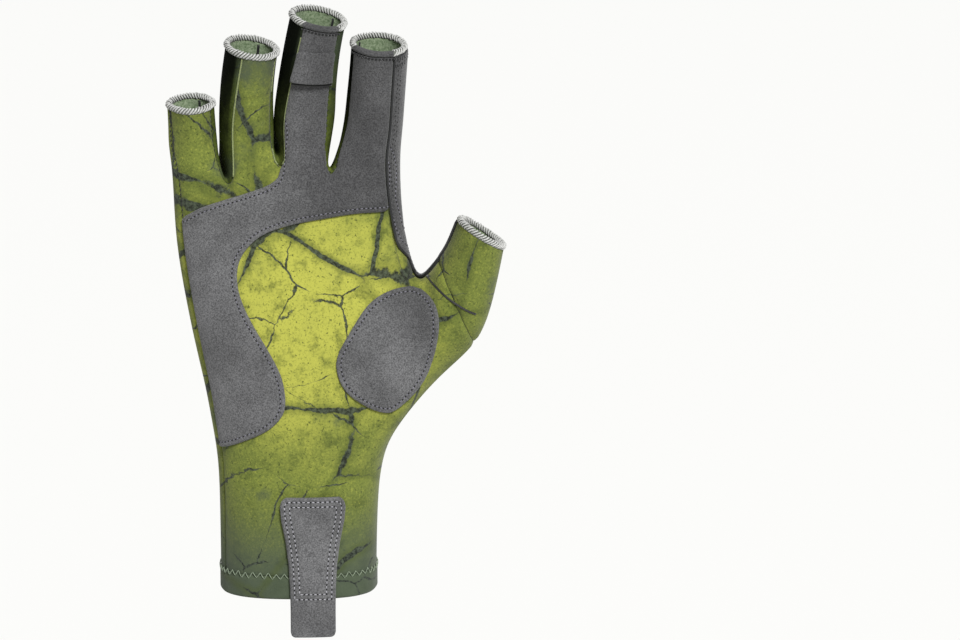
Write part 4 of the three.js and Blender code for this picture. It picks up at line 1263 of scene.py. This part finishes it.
class Thread:
    """Collects the meshes of one kind of thread and makes them into a piece."""

    def __init__(self):
        self.points, self.faces, self.finishes, self.count = [], [], [], 0

    def add(self, points, faces, finish=0):
        start = sum(map(len, self.points))
        self.points.append(points)
        self.faces.extend([v + start for v in face] for face in faces)
        self.finishes.extend([finish] * len(faces))

    def sew(self, chains, heights, pitch=1.9, length=1.15, radius=0.2, lift=0.06, holes=True):
        """A row of lockstitches, with a near-black mark between each two: painted shade of the needle
        hole.
        """
        for chain in chains:
            found = along_chain(chain, heights, pitch)
            if not len(found[0]):
                continue
            self.add(*stitch_shapes(*found, length, radius, lift))
            self.count += len(found[0])
            if holes:
                gaps = along_chain(chain, heights, pitch, offset=pitch / 2)
                self.add(*stitch_shapes(*gaps, 0.8, 0.36, 0.0), finish=1)

    def lay(self, chains, height, radius, step=0.8, shortest=6, raised=0.0):
        """A cord along each chain that isn't too short, at one height over the skin."""
        for chain in chains:
            places, _, _ = along_chain(chain, lambda rows: np.full(len(rows), height), step)
            if len(places) > shortest:
                self.add(*tubes(places[None] + (0, 0, raised), [radius] * len(places)))

    def piece(self, name, materials, slot):
        made = make_piece(name, np.concatenate(self.points), self.faces, self.finishes, materials)
        print(name, self.count, "stitches,", len(self.faces), "polygons")
        return made


for name, (sheet, heights) in patch_sheets.items():
    rows_in = next(patch["rows_in"] for patch in PATCHES if patch["name"] == name)
    threads = Thread()
    for level in rows_in:
        threads.sew(sheet.chains(DRAWN, level), heights)
    threads.piece(name + ".stitches", [grey_thread, shade_of_holes_and_dark_stitch], "microfibre")

threads = Thread()
for row in TAB_STITCHES:
    inset, foot = row["inset"], row["foot"]
    threads.sew(tab_sheet.chains(EDGE, inset, lambda r: r[Z] >= foot), tab_top, pitch=2.0, length=1.3)
    threads.sew(tab_sheet.chains(Z, foot, lambda r: r[EDGE] >= inset), tab_top, pitch=2.0, length=1.3)
threads.piece("pull_tab.stitches", [tab_thread, shade_of_holes_and_dark_stitch], "microfibre")

# %% [markdown]
# Where two pieces of the shell meet, black thread shows as dashes along some seams. Beside the index
# finger and round the crotch of the thumb the seam between knit and microfibre is a deep black line: a
# black cord in its groove is painted shade.

# %% Seam stitches
SEWN_SEAMS = table(  # where dashes show, on which sheet; places in millimetres
    "sheet across_from across_to up_from up_to",
    ("palm_panel", -60, -30, 62, 212),
    ("palm_panel", -38, -30, 176, 212),
    ("palm_panel", -14, -3, 176, 240),
    ("middle_index_fourchette", 8, 30, 178, 240),
    ("back_panel", -60, 60, 176, 250),
)


def beside_seam(row):
    """A test for corners that lie beside a seam of the shell, between the places of a row."""
    return lambda r: (row["across_from"] < r[X] < row["across_to"]
                      and row["up_from"] < r[Z] < row["up_to"] and r[SEAM] < 1)


threads = Thread()
for row in SEWN_SEAMS:
    chains = shell_sheets[row["sheet"]].chains(EDGE, 0.6, beside_seam(row))
    threads.sew(chains, shell_top, pitch=2.2, length=1.3, radius=0.2, holes=False)
guard_sheet, guard_top = patch_sheets["thumb_guard"]
GUARD_INSET, GROOVE_SHADE_RADIUS, GROOVE_SHADE_HEIGHT = 0.35, 0.62, 0.45
# a black cord in the groove along the guard's edge: painted shade
threads.lay(guard_sheet.chains(EDGE, GUARD_INSET, lambda r: r[NY] < 0.35), GROOVE_SHADE_HEIGHT, GROOVE_SHADE_RADIUS)
for inset in GUARD_LINES:
    for chain in guard_sheet.chains(EDGE, GUARD_INSET + inset, lambda r: r[NY] < 0.1 and r[Z] > 165):
        threads.add(*stitch_shapes(*along_chain(chain, guard_top, 2.0), 0.7, 0.24, 0.0), finish=1)
threads.piece("seams.black_stitching_and_painted_shade", [black_for_thread_and_shade, shade_of_holes_and_dark_stitch], "printed_knit")

# %% [markdown]
# The knit isn't hemmed inside the glove. Along three seams of the fingers a pale line is painted
# highlight, where the turned edge of the knit catches the light. Behind each seam the turned-in cloth
# closes the gap, so that no light comes through; it is black, painted shade.

# %% Painted seam highlights, and seam allowances in painted shade
SEAM_HIGHLIGHTS = table(  # where a pale line of painted highlight shows along the front of a finger
    "across_from across_to up_from up_to rise",
    (-30, -20, 176, 230, -0.35),
    (-9, -5, 182, 231, -0.35),
    (-4.8, 4, 182, 240, 0.1),
)
SEAM_HIGHLIGHT_RADIUS = 0.36
ALLOWANCE_HEIGHT, ALLOWANCE_RADIUS = -1.2, 0.45
SEAM_LINE = 0.25  # how far in from the end of the cloth both lie
threads = Thread()
for row in SEAM_HIGHLIGHTS:
    chains = shell_sheets["palm_panel"].chains(EDGE, SEAM_LINE, beside_seam(row))
    threads.lay(chains, row["rise"], SEAM_HIGHLIGHT_RADIUS)
threads.piece("seams.painted_seam_highlight", [painted_seam_highlight], "printed_knit")

# the turned-in cloth behind each seam is black: painted shade in the seam's slit
threads = Thread()
for sheet in shell_sheets.values():
    chains = sheet.chains(EDGE, SEAM_LINE, lambda r: r[SEAM] < 1)
    threads.lay(chains, ALLOWANCE_HEIGHT, ALLOWANCE_RADIUS, step=1.0, shortest=3)
threads.piece("seams.painted_shade_allowance", [black_for_thread_and_shade], "printed_knit")

# %% [markdown]
# ## Overlocked openings
#
# The ends of the fingers and the thumb aren't hemmed. An overlocker has wrapped the raw edge in fluffy
# yarn: a helix round the edge of the cloth. On the middle and index fingers the microfibre covers the
# front of that edge, so the yarn shows at the sides and the back only.

# %% Overlock
EDGE_BEYOND, EDGE_OUT = 1.1, -0.45  # middle of the wrapped edge from the end of the cloth
WRAP_OUT, WRAP_ON = 1.0, 1.1  # half sizes of the wrapped edge
WRAP_PITCH, YARN_RADIUS, WRAP_STEPS, WRAP_SLANT = 1.35, 0.33, 18, 0.7
COVERED_FRONTS = ("middle", "index")
LIP_OUT, LIP_ON = 1.7, 1.25  # half sizes where the microfibre is folded over the edge
LIP_STITCHES = 0.75  # below the end of the cloth


def open_end(part):
    """The corners round an open end in order, so that normal x way points out of the tube."""
    edges, uses = edges_of(skin_faces)
    rim = {tuple(pair) for pair in edges[uses == 1]}
    after = {}
    for quad, tag in zip(skin_faces.tolist(), face_tags):
        if tag.part == part:
            for a, b in zip(quad, quad[1:] + quad[:1]):
                if (min(a, b), max(a, b)) in rim:
                    after[b] = (a, side_of(tag))
    loop = [next(iter(after))]
    while len(loop) < len(after):
        loop.append(after[loop[-1]][0])
    return np.array(loop), [after[v][1] for v in loop]


def round_loop(values, count):
    """Values at even steps round a closed loop of places."""
    places = values[0]
    closed = [np.concatenate([v, v[:1]]) for v in values]
    length = np.concatenate([[0], np.cumsum(np.linalg.norm(np.diff(closed[0], axis=0), axis=1))])
    wanted = np.arange(count) / count * length[-1]
    return [np.stack([np.interp(wanted, length, v[:, k]) for k in range(v.shape[1])], 1) for v in closed]


def overlocked_edge(part):
    loop, sides = open_end(part)
    ring, normals = skin_points[loop], skin_normals[loop]
    covered = np.array([[1.0 if side == "front" and part in COVERED_FRONTS else 0.0] for side in sides])
    perimeter = np.linalg.norm(ring - np.roll(ring, 1, 0), axis=1).sum()
    wraps = round(perimeter / WRAP_PITCH)
    at, out, hidden = round_loop([ring, normals, covered], wraps * WRAP_STEPS)
    out = unit(out)
    ways = unit(np.roll(at, -1, 0) - np.roll(at, 1, 0))
    on = unit(np.cross(out, ways))
    centre = at + out * EDGE_OUT + on * EDGE_BEYOND
    thread = Thread()

    # the cloth's own edge inside the yarn, or the microfibre over it
    sections = 12
    picked = np.arange(0, len(at), 6)
    turn = 2 * math.pi * np.arange(sections) / sections
    cover = hidden[picked]
    half_out, half_on = mix(WRAP_OUT - 0.2, LIP_OUT, cover), mix(WRAP_ON + 0.15, LIP_ON, cover)
    lower = mix(0.4, LIP_ON - WRAP_ON, cover)  # it reaches down past the end of the cloth
    core = (centre[picked][:, None] + out[picked][:, None] * (half_out * np.cos(turn))[..., None]
            + on[picked][:, None] * (half_on * np.sin(turn) - lower)[..., None])
    faces, finishes = [], []
    for k in range(len(picked)):
        for s in range(sections):
            here, there, after = k * sections, (k + 1) % len(picked) * sections, (s + 1) % sections
            faces.append([here + s, there + s, there + after, here + after])
            finishes.append(2 if cover[k, 0] > 0.5 else 1)
    thread.add(core.reshape(-1, 3), faces)
    thread.finishes = finishes

    # the yarn, one helix that is interrupted where the microfibre covers it
    angle = 2 * math.pi * np.arange(len(at)) / WRAP_STEPS
    chance = np.random.default_rng(len(part))
    loose = np.repeat(chance.uniform(0.88, 1.16, wraps), WRAP_STEPS)
    helix = (centre + out * (WRAP_OUT * loose * np.cos(angle))[:, None]
             + on * (WRAP_ON * loose * np.sin(angle))[:, None]
             + ways * (WRAP_SLANT * np.sin(angle))[:, None])
    bare = hidden[:, 0] < 0.5
    first = int(np.argmax(~bare)) if (~bare).any() else 0
    helix, bare = np.roll(helix, -first, 0), np.roll(bare, -first)
    start = int(np.argmax(bare))
    run = helix[start:][bare[start:]]
    if bare.all():
        run = np.concatenate([run, run[:3]])  # its ends lie in each other
    thread.add(*tubes(run[None], [YARN_RADIUS] * len(run)))
    if not bare.all():  # a row of dark stitches holds the lip
        front = ~np.roll(bare, first)
        row = np.nonzero(front & (np.arange(len(at)) % WRAP_STEPS == 0))[0]
        places = at[row] - on[row] * LIP_STITCHES + out[row] * (PATCH_LIFT + SUEDE)
        thread.add(*stitch_shapes(places, out[row], ways[row], 0.95, 0.4, 0.0), finish=3)
    thread.count = wraps
    return thread


EDGE_FINISHES = [overlock_yarn, edge_core, suede, shade_of_holes_and_dark_stitch]
for part in [*FINGER_NAMES, "thumb"]:
    piece = overlocked_edge(part).piece(part + "_edge.overlock", EDGE_FINISHES, "overlock_thread")
    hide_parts(part + "_edge")

# %% [markdown]
# ## Zigzag, dart and bartacks
#
# A zigzag of pale thread holds the hem. The back of the middle finger has a short dart, and the end of
# the guard beside the index finger is fastened by two bartacks.

# %% Small stitching
ZIGZAG_PITCH, ZIGZAG_HALF = 3.4, 1.3


def hem_line():
    """The loop of corners where the hem meets the shell, as rows of place and normal."""
    hem_edges, hem_uses = edges_of(skin_faces[face_cloth == "cuff_hem"])
    border = hem_edges[hem_uses == 1]
    upper = border[skin_points[border].mean(1)[:, 2] > HEM_HEIGHT / 2]
    beside = {}
    for a, b in upper.tolist():
        beside.setdefault(a, []).append(b)
        beside.setdefault(b, []).append(a)
    loop = [upper[0, 0]]
    while len(loop) < len(beside):
        loop.append(next(v for v in beside[loop[-1]] if v not in loop[-2:]))
    return skin_points[loop], skin_normals[loop]


ring, normals = hem_line()
perimeter = np.linalg.norm(ring - np.roll(ring, 1, 0), axis=1).sum()
legs = 2 * round(perimeter / ZIGZAG_PITCH)
at, out = round_loop([ring, normals], legs)
chance = np.random.default_rng(4)
swing = ZIGZAG_HALF * np.where(np.arange(legs) % 2, 1, -1) * chance.uniform(0.6, 1.25, legs)
at = at + np.array([0, 0, 1.0]) * swing[:, None] + unit(out) * (HEM_OUT + 0.02)
ahead = np.roll(at, -1, 0)
threads = Thread()
reach = np.linalg.norm(ahead - at, axis=1).mean()
threads.add(*stitch_shapes((at + ahead) / 2, unit(out), unit(ahead - at), reach, 0.17, lift=0.12))
threads.count = legs
threads.piece("cuff_hem.zigzag", [pale_thread], "hem_knit")


def on_skin(across, up, facing):
    """Place and normal of the skin as seen from the front, facing -1, or from the back, facing 1."""
    flat = np.linalg.norm(skin_points[:, [0, 2]] - (across, up), axis=1)
    flat += FAR * (skin_normals[:, 1] * facing < 0.1)
    nearest = np.argsort(flat)[:6]
    weight = 1 / (flat[nearest] + 0.2) ** 2
    weight = (weight / weight.sum())[:, None]
    return (skin_points[nearest] * weight).sum(0), unit((skin_normals[nearest] * weight).sum(0))


def straight_row(across, up, facing, height, count, length, radius, way_of):
    """A row of stitches from one place to another over the skin."""
    found = [on_skin(mix(*across, t), mix(*up, t), facing) for t in (np.arange(count) + 0.5) / count]
    normals = np.array([normal for _, normal in found])
    places = np.array([place for place, _ in found]) + normals * height
    ways = unit(np.cross(np.cross(normals, np.array(way_of, float)), normals))
    return stitch_shapes(places, normals, ways, length, radius)


DARTS = table(
    "across up facing height count length radius way_of",
    ((3.7, 0.4), (226, 213.7), 1, 0.05, 8, 1.3, 0.18, (0.26, 0, 1)),
    ((41.5, 45.2), (227.0, 228.2), -1, SUEDE + 0.15, 6, 1.5, 0.2, (0.1, 0, 1)),
    ((41.5, 45.2), (224.4, 225.4), -1, SUEDE + 0.15, 6, 1.5, 0.2, (0.1, 0, 1)),
)
threads = Thread()
for row in DARTS:
    threads.add(*straight_row(**row))
    threads.count += row["count"]

# the seam from the crotch of the thumb over its front sags a little in its middle; its black tube is
# partly thread and partly painted shade of the seam's groove
CROTCH_ACROSS, CROTCH_UP, CROTCH_SAG = (54.6, 75.5), (135.6, 121.2), 1.2
BLACK_LINE_RADIUS, SEAM_SMOOTHINGS = 0.5, 6
found = [on_skin(mix(*CROTCH_ACROSS, t), mix(*CROTCH_UP, t) - CROTCH_SAG * math.sin(math.pi * t), -1)
         for t in np.linspace(0, 1, 30)]
places = np.array([place + normal * 0.05 for place, normal in found])
for _ in range(SEAM_SMOOTHINGS):
    places[1:-1] = (places[:-2] + 2 * places[1:-1] + places[2:]) / 4
threads.add(*tubes(places[None], [BLACK_LINE_RADIUS] * len(places)))

# a black cord just below the band's free edge is painted shade in the slit
SLIT_SHADE_HEIGHT, SLIT_SHADE_DROP = PATCH_LIFT + SUEDE + 0.35, 1.0
chains = band_sheet.chains(EDGE, BAND_INSET, lambda r: r[Z] < BAND_FOOT * BODY_LENGTH - tilt * r[X] + 1.0)
threads.lay(chains, SLIT_SHADE_HEIGHT, BLACK_LINE_RADIUS, raised=-SLIT_SHADE_DROP)
threads.piece("small_stitching.black_stitching_and_painted_shade", [black_for_thread_and_shade], "printed_knit")

# %% [markdown]
# ## Light and camera
#
# A plain pale floor well below the glove, soft light, and a long lens at the photograph's angle.

# %% Studio
def stage_plane(name, size, place):
    mesh = bpy.data.meshes.new(name)
    s = size / 2
    mesh.from_pydata([(-s, -s, 0), (s, -s, 0), (s, s, 0), (-s, s, 0)], [], [(0, 1, 2, 3)])
    plane = bpy.data.objects.new(name, mesh)
    plane.location = place
    bpy.context.scene.collection.objects.link(plane)
    material = bpy.data.materials.new(name + "_paint")
    material.use_nodes = True
    material.node_tree.nodes["Principled BSDF"].inputs["Base Color"].default_value = linear("#f4f4f2")
    material.node_tree.nodes["Principled BSDF"].inputs["Roughness"].default_value = 0.9
    mesh.materials.append(material)
    return plane


floor = stage_plane("floor", 30.0, (0, 0, -0.5))
world = bpy.data.worlds.new("studio")
world.use_nodes = True
world.node_tree.nodes["Background"].inputs["Color"].default_value = linear("#ffffff")
world.node_tree.nodes["Background"].inputs["Strength"].default_value = 0.24
bpy.context.scene.world = world
bpy.context.scene.view_settings.view_transform = "Standard"  # as the photograph's own sRGB
key = bpy.data.lights.new("key", "SUN")
key.energy, key.angle = 4.1, math.radians(15)
key_light = bpy.data.objects.new("key", key)
key_light.rotation_euler = Vector((-0.42, 1.0, -0.95)).to_track_quat("-Z", "Y").to_euler()
bpy.context.scene.collection.objects.link(key_light)

CAMERA_ELEVATION, CAMERA_DISTANCE = math.radians(11), 1.9
FRAME_WIDTH = 960 * 0.42 * MM  # what the photograph's frame spans at the glove
camera_data = bpy.data.cameras.new("camera")
camera_data.lens = 36 * CAMERA_DISTANCE / FRAME_WIDTH
camera = bpy.data.objects.new("camera", camera_data)
target = Vector((0.0773, 0, 0.1147))
back = Vector((0, -math.cos(CAMERA_ELEVATION), math.sin(CAMERA_ELEVATION)))
camera.location = target + back * CAMERA_DISTANCE
camera.rotation_euler = (-back).to_track_quat("-Z", "Y").to_euler()
bpy.context.scene.collection.objects.link(camera)
bpy.context.scene.camera = camera
print("lens", round(camera_data.lens, 1), "mm")
